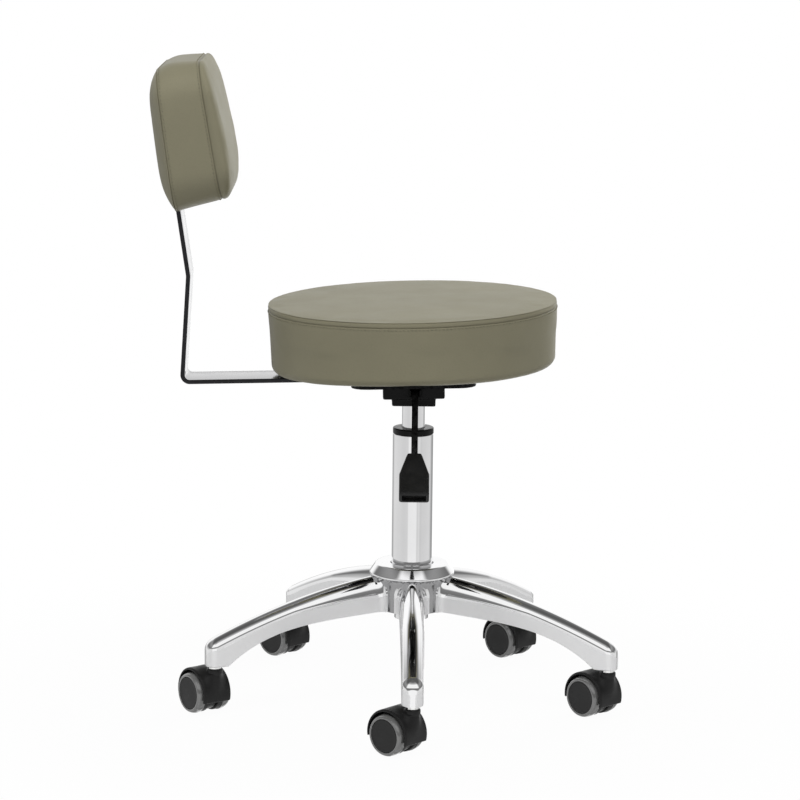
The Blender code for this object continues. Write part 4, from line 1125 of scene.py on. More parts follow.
@dataclass
class SeatUpholstery:
    """The round seat cushion: a crowned top panel sewn to a tight side band."""

    bearings: Bearings
    radius: float = 0.1750
    bottom: float = 0.0268
    seam_height: float = 0.0740
    roll_width: float = 0.0080
    roll_height: float = 0.0008
    # Painted shade in the crease at the top's edge, and the scale of the seams' darkening, which is partly
    # dirt and partly painted shade.
    edge_shade: float = 0.60
    seam_shade: float = 0.55
    border: float = 0.0062
    crown: float = 0.0022
    seam_depth: float = 0.0010
    waist_inset: float = 0.0010
    foot_inset: float = 0.0022
    foot_round: float = 0.0100
    board_radius: float = 0.1500
    bottom_rise: float = 0.018
    side_rise: float = 0.0055
    segments: int = 240
    stitch_pitch: float = 0.0046
    stitch_drop: float = 0.0022
    thread: float = 0.0006
    swell_cap: float = 0.0005
    crown_power: float = 2.4
    crown_steps: int = 40
    roll_turn: tuple[float, float] = (math.radians(82.0), math.radians(16.0))
    roll_steps: int = 10
    under_edge: tuple[tuple[float, float], ...] = ((0.0003, 0.0012), (0.0, 0.0026))
    # Each lip: rise from the seam, pull into it, and darkness in the seam mask, partly dirt and partly
    # painted shade in the groove.
    lips: tuple[tuple[float, float, float], ...] = (
        (0.0020, 0.05, 0.0), (0.0009, 0.35, 0.1), (0.0004, 0.75, 0.6), (0.0, 1.0, 1.0),
    )
    band_gap: float = 0.002
    band_proud: float = 0.0003
    band_steps: int = 22
    foot_power: float = 1.4
    foot_start: float = -0.15
    foot_steps: int = 9
    under_inset: float = 0.016
    under_steps: int = 5
    pocket_gap: float = 0.0006
    pocket_lip: tuple[float, float] = (0.0004, 0.003)

    def rows(self) -> tuple[Profile, list[float]]:
        """Lay out the cover from the crown to the board's pocket.

        Returns:
            The profile and its seam mask.
        """
        seam_z = self.bottom + self.seam_height
        edge = seam_z + self.border
        inner = self.radius - self.roll_width
        top = edge + self.roll_height
        steps = np.linspace(0.0, 1.0, self.crown_steps)
        profile = [(inner * s, top + self.crown * (1.0 - s ** self.crown_power)) for s in steps]
        for a in np.linspace(*self.roll_turn, self.roll_steps):
            profile.append((inner + self.roll_width * math.cos(a), edge + self.roll_height * math.sin(a)))
        edge_row = len(profile)
        profile.append((self.radius - self.seam_depth, edge))
        profile += [(self.radius - inset, edge - drop) for inset, drop in self.under_edge]
        pulls = [*self.lips, *((-up, pull, shade) for up, pull, shade in self.lips[-2::-1])]
        profile += [(self.radius - self.seam_depth * pull, seam_z + up) for up, pull, _ in pulls]
        # Seam rows get darkening that is partly dirt and partly painted shade in the groove; the edge crease
        # row gets painted shade.
        mask = [0.0] * (len(profile) - len(pulls)) + [shade for _, _, shade in pulls]
        mask[edge_row] = self.edge_shade
        foot_z = self.bottom + self.foot_round
        foot_radius = self.radius - self.foot_inset
        gap = self.band_gap
        for s in np.linspace(0.06, 1.0, self.band_steps):
            belly = self.waist_inset * math.sin(math.pi * min(1.0, 0.75 * s + 0.08)) * 0.6
            inset = self.foot_inset * s ** self.foot_power + belly
            height = seam_z - gap + (foot_z - seam_z + gap) * s
            profile.append((self.radius + self.band_proud - inset, height))
        last = profile[-1][0]
        foot = (last - self.foot_round, foot_z)
        profile += arc(foot, self.foot_round, self.foot_start, -math.pi / 2, self.foot_steps)
        ends = (foot_radius - self.under_inset, self.board_radius + self.pocket_gap)
        profile += [(r, self.bottom) for r in np.linspace(*ends, self.under_steps)]
        profile.append((self.board_radius + self.pocket_lip[0], self.bottom + self.pocket_lip[1]))
        mask += [0.0] * (len(profile) - len(mask))
        return profile, mask

    def build(self, dresser: Dresser) -> None:
        """Make the cushion and its stitching.

        Args:
            dresser: Puts the finished meshes into the scene.
        """
        profile, mask = self.rows()
        rows = CoverRows(turned_rings(profile, self.segments), np.array(mask))
        rows.swell(ClothSwell(cap=self.swell_cap))
        rows.settle()
        low = np.clip((self.bottom + self.seam_height - rows.rings[..., 2]) / self.seam_height, 0.0, 1.0)
        across = (rows.rings[..., 1] / self.radius) ** 2
        side = across * (1.0 - np.clip(rows.rings[..., 0] / self.radius, 0.0, 1.0))
        rows.rings[..., 2] += self.bottom_rise * rows.rings[..., 0] * low + self.side_rise * side * low ** 3
        seam_row = int(np.argmax(rows.seam))
        mesh = shell("seat_upholstery", rows.rings, seam=rows.seam * self.seam_shade)
        piece = dresser.dress(placed(mesh, self.bearings.seat), "seat", Slot.VINYL, ["seat_cushion"])
        heights = rows.rings[:, :, 2].mean(axis=1)
        below = int(np.argmin(np.abs(heights - heights[seam_row] + self.stitch_drop)))
        path, outward = rows.row_path(below)
        sewing = stitch_row("seat_stitching", path, outward, self.stitch_pitch, self.thread)
        thread = dresser.wardrobe.own(ThreadFinish())
        dresser.dress(placed(sewing, self.bearings.seat), "seat", Slot.VINYL, own=thread)


@dataclass
class SeatBoard:
    """The plywood disc in the seat, bevelled below so that the cover's edge hides its rim."""

    bearings: Bearings
    radius: float = 0.1500
    flat_radius: float = 0.1180
    bevel_height: float = 0.0065
    bottom: float = 0.0268
    thickness: float = 0.0100
    segments: int = 120

    def build(self, dresser: Dresser) -> None:
        """Make the board.

        Args:
            dresser: Puts the finished meshes into the scene.
        """
        top = self.bottom + self.thickness
        corners = [
            (0.0, self.bottom, 0.0),
            (self.flat_radius, self.bottom, 0.0040),
            (self.radius, self.bottom + self.bevel_height, 0.0008),
            (self.radius, top, 0.0008),
            (0.0, top, 0.0),
        ]
        rings = turned_rings(filleted(corners, 4), self.segments)
        disc = placed(shell("seat_board_disc", rings), self.bearings.seat)
        dresser.dress(disc, "seat", Slot.BOARD, ["seat_board"])


@dataclass
class BackUpholstery:
    """The boxed back pad: a rear panel, a boxing strip and a front panel with a soft ridge."""

    place: Matrix
    width: float = 0.2000
    height: float = 0.1685
    corner: float = 0.0420
    boxing: float = 0.0532
    rear_seam: float = 0.0
    taper: float = 0.0015
    front_slope: float = -0.020
    rear_slope: float = 0.015
    rear_crown: float = 0.0150
    rear_drop: float = 0.0055
    rear_drop_share: float = 0.45
    rear_foot: float = 0.0040
    front_drop: float = 0.0240
    front_foot: float = 0.0340
    front_depth: float = 0.0175
    boxing_bulge: float = 0.0010
    seam_depth: float = 0.0009
    panel_reach: float = 0.069
    thin_from: float = 0.010
    thin_share: float = 0.34
    long_steps: int = 56
    short_steps: int = 14
    corner_steps: int = 18
    stitch_pitch: float = 0.0046
    thread: float = 0.0005
    swell_cap: float = 0.0006
    panel_rows: int = 20
    panel_power: float = 1.7
    panel_edge: float = 0.0016
    crown_power: float = 3.6
    boxing_rows: int = 20
    # Each lip: step from the seam, pull into it, and darkness in the seam mask, partly dirt and partly
    # painted shade in the groove.
    lips: tuple[tuple[float, float, float], ...] = (
        (-0.0009, 0.30, 0.1), (-0.0004, 0.70, 0.5), (0.0, 1.0, 1.0), (0.0004, 0.70, 0.5), (0.0009, 0.30, 0.1),
    )
    ridge: tuple[tuple[float, float], ...] = (
        (0.12, -0.0004), (0.24, -0.0010), (0.38, -0.0017), (0.52, -0.0022), (0.64, -0.0023),
        (0.74, -0.0017), (0.82, -0.0004), (0.88, 0.0017), (0.92, 0.0042), (0.945, 0.0074),
        (0.960, 0.0112), (0.971, 0.0160), (0.979, 0.0220), (0.986, 0.0290), (0.991, 0.0380),
        (0.995, 0.0480), (0.998, 0.0580), (1.0, 0.0690),
    )
    stitch_rows: tuple[int, int] = (3, -3)
    corner_floor: float = 0.3
    corner_cap: float = 0.97
    boxing_ends: tuple[float, float] = (0.05, 0.95)
    ridge_cap: float = 0.97

    def thinning(self, height: float) -> float:
        """Return how much of the front panel's depth is missing at a height over the pad's middle."""
        share = min(1.0, max(0.0, (height + self.thin_from) / (self.height / 2)))
        return self.thin_share * share

    def outline(
        self,
        depth: float,
        inset: float,
        slope: float,
        panel: float = 0.0,
        drop: float = 0.0,
        foot: float = 0.0,
    ) -> list[tuple[float, float, float]]:
        """Return one ring of the pad.

        Args:
            depth: Distance from the bar's face.
            inset: How far the ring is drawn in from the seam's outline.
            slope: Change of depth with height.
            panel: Depth of the front panel there, which is less towards the top.
            drop: How far the ring's top is lowered.
            foot: How far its bottom is lowered.

        Returns:
            The ring's points.
        """
        half_width = self.width / 2 - inset
        half_height = self.height / 2 - inset
        radius = max(self.corner - inset, self.corner * self.corner_floor)
        radius = min(radius, half_height * self.corner_cap)
        y, z = half_width - radius, half_height - radius
        ring: Profile = []
        for i, (cy, cz) in enumerate(((y, z), (-y, z), (-y, -z), (y, -z))):
            ring += arc((cy, cz), radius, i * math.pi / 2, (i + 1) * math.pi / 2, self.corner_steps)
            steps = self.long_steps if i % 2 == 0 else self.short_steps
            ny, nz = ((-y, z + radius), (-y - radius, -z), (y, -z - radius), (y + radius, z))[i]
            start = np.array(ring[-1])
            for s in np.linspace(0.0, 1.0, steps + 1)[1:-1]:
                ring.append(tuple(start + (np.array((ny, nz)) - start) * s))
        ring = [(a, b - (drop if b > 0.0 else foot) * (2 * b / self.height) ** 2) for a, b in ring]
        return [(depth + slope * b + panel * (1.0 - self.thinning(b)), a, b) for a, b in ring]

    def rows(self) -> tuple[np.ndarray, np.ndarray]:
        """Lay out the cover from the middle of the rear panel to the middle of the front one.

        Returns:
            The rings and their seam mask.
        """
        rings, mask = [], []

        def add(depth: float, inset: float, slope: float, seam: float = 0.0, **more: float) -> None:
            """Add one ring."""
            rings.append(self.outline(depth, inset, slope, **more))
            mask.append(seam)

        rear, front = self.rear_seam, self.rear_seam + self.boxing
        sag = {"drop": self.rear_drop, "foot": self.rear_foot}
        for s in np.linspace(1.0, 0.0, self.panel_rows):
            inset = self.panel_reach * s ** self.panel_power + self.panel_edge
            share = 1.0 - (1.0 - min(1.0, inset / self.panel_reach)) ** self.crown_power
            add(rear - self.rear_crown * share, inset - self.taper, self.rear_slope, **sag)
        for step, pull, seam in self.lips:
            add(rear + step, self.seam_depth * pull - self.taper, self.rear_slope, seam, **sag)
        for s in np.linspace(*self.boxing_ends, self.boxing_rows):
            bulge = self.boxing_bulge * 4 * s * (1 - s)
            slope = self.rear_slope + (self.front_slope - self.rear_slope) * s
            drop = self.rear_drop * max(0.0, 1.0 - s / self.rear_drop_share) ** 2
            foot = self.rear_foot * (1.0 - s) ** 3
            add(rear + self.boxing * s, self.taper * (2 * s - 1) - bulge, slope, drop=drop, foot=foot)
        for step, pull, seam in self.lips:
            add(front + step, self.seam_depth * pull + self.taper, self.front_slope, seam)
        for share, inset in self.ridge:
            turn = 1.0 - math.sqrt(1.0 - min(share, self.ridge_cap) ** 2)
            panel, drop, foot = self.front_depth * share, self.front_drop * turn, -self.front_foot * turn
            add(front, inset + self.taper, self.front_slope, panel=panel, drop=drop, foot=foot)
        return np.array(rings), np.array(mask)

    def build(self, dresser: Dresser) -> None:
        """Make the pad and the stitching along both seams.

        Args:
            dresser: Puts the finished meshes into the scene.
        """
        rings, mask = self.rows()
        rows = CoverRows(rings, mask)
        rows.swell(ClothSwell(cap=self.swell_cap))
        rows.settle()
        cover = placed(shell("back_upholstery", rows.rings, seam=rows.seam), self.place)
        piece = dresser.dress(cover, "seat", Slot.VINYL, ["back_cushion"])
        seams = np.flatnonzero(rows.seam > SEWN)
        bodies = []
        for row, step in zip(seams, self.stitch_rows):
            path, outward = rows.row_path(int(row) + step)
            bodies.append(stitch_row("pad_stitches", path, outward, self.stitch_pitch, self.thread))
        sewing = placed(joined("back_stitching", bodies), self.place)
        dresser.dress(sewing, "seat", Slot.VINYL, own=dresser.wardrobe.own(ThreadFinish()))


# Frame pieces


@dataclass
class BackBar:
    """The bent flat bar between seat and pad: bright faces, dark sheared edges."""

    bearings: Bearings
    width: float = 0.0600
    thickness: float = 0.0052
    top: float = 0.0196
    inner_end: float = 0.0780
    reach: float = 0.2823
    corner_radius: float = 0.0085
    kink_radius: float = 0.0150
    kink_rise: float = 0.1290
    lower_lean: float = math.radians(4.9)
    upper_lean: float = math.radians(7.0)
    to_pad_centre: float = 0.1725
    past_centre: float = 0.0450
    edge_round: float = 0.0007
    edge_facing: float = 0.05
    bend_steps: int = 14

    def corners(self) -> list[Vector]:
        """Lay out the bar's centre line in the seat frame.

        Returns:
            Its inner end, corner, kink and top.
        """
        leg = self.top - self.thickness / 2
        corner = Vector((self.thickness / 2 - self.reach, leg))
        kink = corner + Vector((math.tan(self.lower_lean), 1.0)) * self.kink_rise
        way = Vector((-math.sin(self.upper_lean), math.cos(self.upper_lean)))
        top = kink + way * (self.to_pad_centre + self.past_centre)
        return [Vector((-self.inner_end, leg)), corner, kink, top]

    def pad_place(self) -> Matrix:
        """Find the pad's place.

        Returns:
            The pad's frame, on the bar's front face with X to the front.
        """
        way = Vector((-math.sin(self.upper_lean), math.cos(self.upper_lean)))
        face = Vector((way.y, -way.x)) * self.thickness / 2
        centre = self.corners()[2] + way * self.to_pad_centre + face
        here = Matrix.Translation((centre.x, 0.0, centre.y))
        return self.bearings.seat @ here @ Matrix.Rotation(-self.upper_lean, 4, "Y")

    def centre_line(self) -> list[tuple[Vector, Vector]]:
        """Follow the bar through its bends.

        Returns:
            Points along the bar with the direction at each.
        """
        path = self.corners()
        line = [(path[0], (path[1] - path[0]).normalized())]
        radii = (self.corner_radius, self.kink_radius)
        for before, bend, after, radius in zip(path, path[1:], path[2:], radii):
            way_in = (bend - before).normalized()
            way_out = (after - bend).normalized()
            angle = way_in.angle_signed(way_out)
            start = bend - way_in * (radius * math.tan(abs(angle) / 2))
            side = Vector((-way_in.y, way_in.x)) * (-1.0 if angle > 0 else 1.0)
            pivot = start + side * radius
            for i in range(self.bend_steps + 1):
                spin = Matrix.Rotation(-angle * i / self.bend_steps, 2)
                line.append((pivot + spin @ (start - pivot), spin @ way_in))
        line.append((path[-1], (path[-1] - path[-2]).normalized()))
        return line

    def build(self, dresser: Dresser) -> None:
        """Make the bar.

        Args:
            dresser: Puts the finished meshes into the scene.
        """
        half, thin, edge = self.width / 2, self.thickness / 2, self.edge_round
        corners = [(-half, -thin, edge), (half, -thin, edge), (half, thin, edge), (-half, thin, edge)]
        section = filleted(corners, 3, closed=True)
        rings = []
        for point, way in self.centre_line():
            out = Vector((-way.y, way.x))
            rings.append([(point.x + out.x * n, y, point.y + out.y * n) for y, n in section])
        mesh = shell("back_bar_strip", np.array(rings))
        for face in mesh.polygons:
            face.material_index = 1 if abs(face.normal.y) > self.edge_facing else 0
        dark = BrightMetal("bar_sheared_edge", (0.030, 0.030, 0.032), (0.30, 0.45), drift=0.2, patch=0.01)
        grey = BrightMetal("bar_flat_face", (0.46, 0.46, 0.465), (0.16, 0.26), drift=0.06)
        edges, faces = dresser.wardrobe.own(dark), dresser.wardrobe.own(grey)
        strip = placed(mesh, self.bearings.seat)
        dresser.dress(strip, "seat", Slot.CHROME, ["back_bar"], extra=[edges], own=faces)


@dataclass
class FiveArmBase:
    """Polished cast base: a turned hub and five hollow arms that curve down to the casters."""

    bearings: Bearings
    low: float
    high: float
    circle: float
    hub_lift: float = 0.0560
    hub_wall: float = 0.0435
    hub_rim: float = 0.0520
    hub_top: float = 0.0440
    rim_drop: float = 0.0115
    rim_edge: float = 0.0020
    flare: float = 0.0150
    bore_top: float = 0.0253
    bore_bottom: float = 0.0239
    tip_overhang: float = 0.0115
    tip_height: float = 0.0290
    tip_chamfer: float = 0.0115
    tip_side_round: float = 0.0098
    tip_end_drop: float = 0.0085
    tip_end_shoulder: float = 0.0035
    boss_length: float = 0.0255
    tip_width: float = 0.0255
    tip_shoulder: float = 0.0100
    root_width: float = 0.0310
    root_shoulder: float = 0.0220
    root_slope_top: float = 0.155
    root_slope_bottom: float = 0.090
    wall: float = 0.0040
    flare_start: float = 0.0400
    flare_length: float = 0.0115
    flare_width: float = 0.0060
    crease: float = math.radians(14.0)
    socket: float = 0.0100
    stations: int = 44
    nose_steps: int = 12
    arc_steps: int = 28
    hub_segments: int = 120
    crisp: float = math.radians(30.0)
    side_points: int = 4
    edge_bevel: float = 0.0009
    side_shares: tuple[float, float, float] = (0.3, 0.6, 0.85)
    flare_steps: int = 12
    boss_steps: int = 8

    def shape(self, radius: float) -> tuple[float, float, float, float]:
        """Find an arm's sizes at a place along it.

        Args:
            radius: Distance from the column.

        Returns:
            Its top, bottom, width and shoulder height.
        """
        hub_low = self.low + self.hub_lift
        length = self.circle + self.tip_overhang - self.hub_wall
        run = radius - self.hub_wall
        share = run / length
        root_top = self.high - self.rim_drop - self.rim_edge
        fall = root_top - self.low - self.tip_height
        top = root_top - self.root_slope_top * run - (fall - self.root_slope_top * length) * share ** 2
        boss_run = length - self.boss_length
        drop = self.hub_lift - self.root_slope_bottom * boss_run
        bottom = hub_low - self.root_slope_bottom * run - drop * (run / boss_run) ** 4
        width = self.root_width + (self.tip_width - self.root_width) * share
        shoulder = self.root_shoulder + (self.tip_shoulder - self.root_shoulder) * min(1.0, 2.0 * share)
        return top, max(bottom, self.low), width, shoulder

    def root_fillet(self, radius: float) -> float:
        """Return how far the arm's skin swells out towards the hub at a radius."""
        share = min(1.0, max(0.0, (radius - self.flare_start) / self.flare_length))
        return self.flare_width * (1.0 - math.sqrt(1.0 - (1.0 - share) ** 2))

    def section(
        self,
        radius: float,
        inset: float = 0.0,
        sink: float = 0.0,
        pinch: float = 0.0,
        arch: float | None = None,
    ) -> list[tuple[float, float, float]]:
        """Return an arm's section from one lower edge over the top to the other.

        Args:
            radius: Where along the arm.
            inset: How far inside the outer skin.
            sink: How far the top is lowered.
            pinch: How far each side is drawn in.
            arch: Height of the round top, if not the usual one there.

        Returns:
            Points of the open section.
        """
        top, low, width, usual = self.shape(radius)
        shoulder = usual if arch is None else arch
        fillet = 0.0 if inset else self.root_fillet(radius)
        half = width / 2 - inset - pinch + fillet
        crown = top - inset - sink + 0.5 * fillet
        spring = crown - shoulder
        bevel = 0.0 if inset else self.edge_bevel
        points = [(half - bevel, low), (half, low + bevel)]
        points += [(half, low + bevel + (spring - low - bevel) * s) for s in self.side_shares]
        base = math.sin(self.crease)
        for a in np.linspace(self.crease, math.pi - self.crease, self.arc_steps + 1):
            y = half * math.cos(a) / math.cos(self.crease)
            points.append((y, spring + shoulder * (math.sin(a) - base) / (1.0 - base)))
        points += [(-y, z) for y, z in points[4::-1]]
        return [(radius, y, z) for y, z in points]

    def arm(self, heading: float) -> bpy.types.Mesh:
        """Make one arm: an outer skin, a channel open below, and a solid boss at the tip.

        Args:
            heading: The arm's direction.

        Returns:
            The arm's mesh.
        """
        tip = self.circle + self.tip_overhang
        root = (self.bore_top + self.hub_wall) / 2
        channel_end = self.circle - self.socket
        flare_end = self.flare_start + self.flare_length
        inner_radii = [root, *np.linspace(self.flare_start, flare_end, self.flare_steps)]
        inner_radii += list(np.linspace(flare_end, channel_end, self.stations))[1:]
        start = tip - self.tip_chamfer
        boss = list(np.linspace(channel_end, start, self.boss_steps))[1:]
        outer = [self.section(r) for r in inner_radii + boss]
        for turn in np.linspace(0.0, math.pi / 2, self.nose_steps + 1)[1:]:
            radius = start + self.tip_chamfer * math.sin(turn)
            rounding = 1.0 - math.cos(turn)
            usual = self.shape(radius)[3]
            arch = usual + (self.tip_end_shoulder - usual) * math.sin(turn)
            pinch, sink = self.tip_side_round * rounding, self.tip_end_drop * rounding
            outer.append(self.section(radius, sink=sink, pinch=pinch, arch=arch))
        inner = [self.section(r, inset=self.wall) for r in inner_radii]
        bm = bmesh.new()
        skin = [[bm.verts.new(p) for p in ring] for ring in outer]
        hollow = [[bm.verts.new(p) for p in ring] for ring in inner]
        last = len(hollow) - 1
        for rows in (skin, hollow):
            for here, there in zip(rows, rows[1:]):
                for j in range(len(here) - 1):
                    face = bm.faces.new((here[j], here[j + 1], there[j + 1], there[j]))
                    flat = j < self.side_points or j >= len(here) - 1 - self.side_points
                    face.material_index = 2 if flat else 0
        for i in range(last):
            bm.faces.new((skin[i][0], skin[i + 1][0], hollow[i + 1][0], hollow[i][0]))
            bm.faces.new((skin[i][-1], hollow[i][-1], hollow[i + 1][-1], skin[i + 1][-1]))
        bm.faces.new(hollow[last])
        outside, inside, beyond = skin[last], hollow[last], skin[last + 1]
        bm.faces.new((outside[0], inside[0], inside[-1], outside[-1], beyond[-1], beyond[0]))
        for i in range(last + 1, len(skin) - 1):
            bm.faces.new((skin[i][0], skin[i][-1], skin[i + 1][-1], skin[i + 1][0]))
        bm.faces.new(skin[-1])
        bm.faces.new(skin[0] + hollow[0][::-1])
        mesh = bpy.data.meshes.new("arm")
        bm.to_mesh(mesh)
        bm.free()
        return placed(clean_mesh(mesh), self.bearings.upright, Matrix.Rotation(heading, 4, "Z"))

    def hub(self) -> bpy.types.Mesh:
        """Turn the hub, with a coned top, a thin rim and a flare down to its wall, whose outside below the
        rim takes a darker metal as painted shade.

        Returns:
            The hub's mesh.
        """
        rim_z = self.high - self.rim_drop
        hub_low = self.low + self.hub_lift
        flare_z = rim_z - self.rim_edge - self.flare
        corners = [
            (self.bore_top + 0.0002, self.high - 0.0030, 0.0),
            (self.bore_top + 0.0016, self.high, 0.0008),
            (self.hub_top, self.high, 0.0022),
            (self.hub_rim, rim_z, 0.0010),
            (self.hub_rim, rim_z - self.rim_edge, 0.0008),
            (self.hub_wall + 0.0022, rim_z - self.rim_edge - 0.0045, 0.0040),
            (self.hub_wall, flare_z, 0.0080),
            (self.hub_wall, hub_low, 0.0022),
            (self.bore_bottom, hub_low, 0.0008),
        ]
        rings = turned_rings(filleted(corners, 6), self.hub_segments)
        mesh = shell("hub", rings, loop=True)
        # Outside faces below the rim take material 1, a darker copy of the polished casting: painted shade
        # under the rim.
        for face in mesh.polygons:
            outside = face.normal.x * face.center.x + face.normal.y * face.center.y > 0.0
            face.material_index = 1 if outside and face.center.z < rim_z - self.rim_edge else 0
        return placed(mesh, self.bearings.upright)

    def build(self, dresser: Dresser) -> None:
        """Make the base as one piece.

        Args:
            dresser: Puts the finished meshes into the scene.
        """
        arms = [self.arm(self.bearings.arm_heading(number)) for number in CASTERS]
        base = joined("base_polished", [self.hub(), *arms])
        # Darker copy of the polished casting for the hub's outside below the rim: painted shade.
        wall = BrightMetal("hub_wall_casting", (0.40, 0.40, 0.405), (0.10, 0.18), drift=0.06)
        satin = BrightMetal("satin_casting", (0.96, 0.96, 0.965), (0.34, 0.39), drift=0.01, metallic=0.5)
        extra = [dresser.wardrobe.own(wall), dresser.wardrobe.own(satin)]
        dresser.dress(base, "base", Slot.ALUMINIUM, ["base_casting"], extra=extra, crisp=self.crisp)


@dataclass
class GasLift:
    """The visible column: stand tube, guide bush with its collar, and the gas cylinder."""

    bearings: Bearings
    tube_radius: float = 0.0250
    tube_wall: float = 0.0022
    taper: float = 0.0014
    foot_radius: float = 0.0210
    foot_height: float = 0.0130
    cylinder_radius: float = 0.0140
    cylinder_bore: float = 0.0120
    pin_bore: float = 0.0033
    rod_bore: float = 0.0053
    valve_height: float = 0.03
    gland_height: float = 0.008
    collar_height: float = 0.0070
    clearance: float = 0.0003
    segments: int = 96

    def build(self, dresser: Dresser) -> None:
        """Make the three turned pieces between the heights of their nodes.

        Args:
            dresser: Puts the finished meshes into the scene.
        """
        tube_low, tube_high = (corner.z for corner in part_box("stand_tube"))
        base_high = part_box("base_casting")[1].z
        hub_low = tube_low + self.foot_height
        outer, foot = self.tube_radius, self.foot_radius
        inner, foot_bore = outer - self.tube_wall, foot - self.tube_wall
        tube = [
            (outer, base_high, 0.0), (outer, tube_high, 0.0009), (inner, tube_high, 0.0006),
            (inner, base_high, 0.0), (foot_bore, hub_low, 0.0), (foot_bore, tube_low, 0.0005),
            (foot, tube_low, 0.0008), (foot, hub_low - 0.003, 0.001), (outer - self.taper, hub_low, 0.001),
        ]
        self.piece(dresser, "stand_tube_bright", tube, "base", Slot.CHROME, "stand_tube")
        bush_low, bush_high = (corner.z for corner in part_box("guide_bush"))
        collar_low = bush_high - self.collar_height
        bore, guide = self.cylinder_radius + self.clearance, inner - self.clearance
        bush = [
            (bore, bush_high, 0.0008), (outer, bush_high, 0.0016), (outer, collar_low, 0.0005),
            (guide, collar_low, 0.0), (guide, bush_low, 0.0008), (bore, bush_low, 0.0008),
        ]
        black = (0.003, 0.003, 0.003)
        glossy = DarkFinish(
            "collar_nylon", black, (0.14, 0.22), 0.0006, 0.00002, rub=0.0, dust=0.0, specular=0.16
        )
        own = dresser.wardrobe.own(glossy)
        self.piece(dresser, "guide_collar", bush, "base", Slot.NYLON, "guide_bush", own)
        low, high = (corner.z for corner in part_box("gas_cylinder"))
        valve, gland = high - self.valve_height, low + self.gland_height
        wide, bored = self.cylinder_radius, self.cylinder_bore
        cylinder = [
            (wide, low, 0.0012), (wide, high, 0.0012), (self.pin_bore, high, 0.0),
            (self.pin_bore, valve, 0.0), (bored, valve, 0.0), (bored, gland, 0.0),
            (self.rod_bore, gland, 0.0), (self.rod_bore, low, 0.0),
        ]
        self.piece(dresser, "gas_cylinder_bright", cylinder, "seat", Slot.CHROME, "gas_cylinder")

    def piece(
        self,
        dresser: Dresser,
        name: str,
        corners: Corners,
        body: str,
        slot: Slot,
        node: str,
        own: bpy.types.Material | None = None,
    ) -> None:
        """Turn one piece about the column and dress it.

        Args:
            dresser: Puts the finished mesh into the scene.
            name: The piece's name.
            corners: Its closed profile, as corners for filleted.
            body: The CAD body that it rides on.
            slot: The material slot it takes its finish from.
            node: The CAD node that it stands for.
            own: A material of its own in place of the slot's.
        """
        rings = turned_rings(filleted(corners, 4, closed=True), self.segments)
        mesh = placed(shell(name, rings, loop=True), self.bearings.upright)
        dresser.dress(mesh, body, slot, [node], own=own)


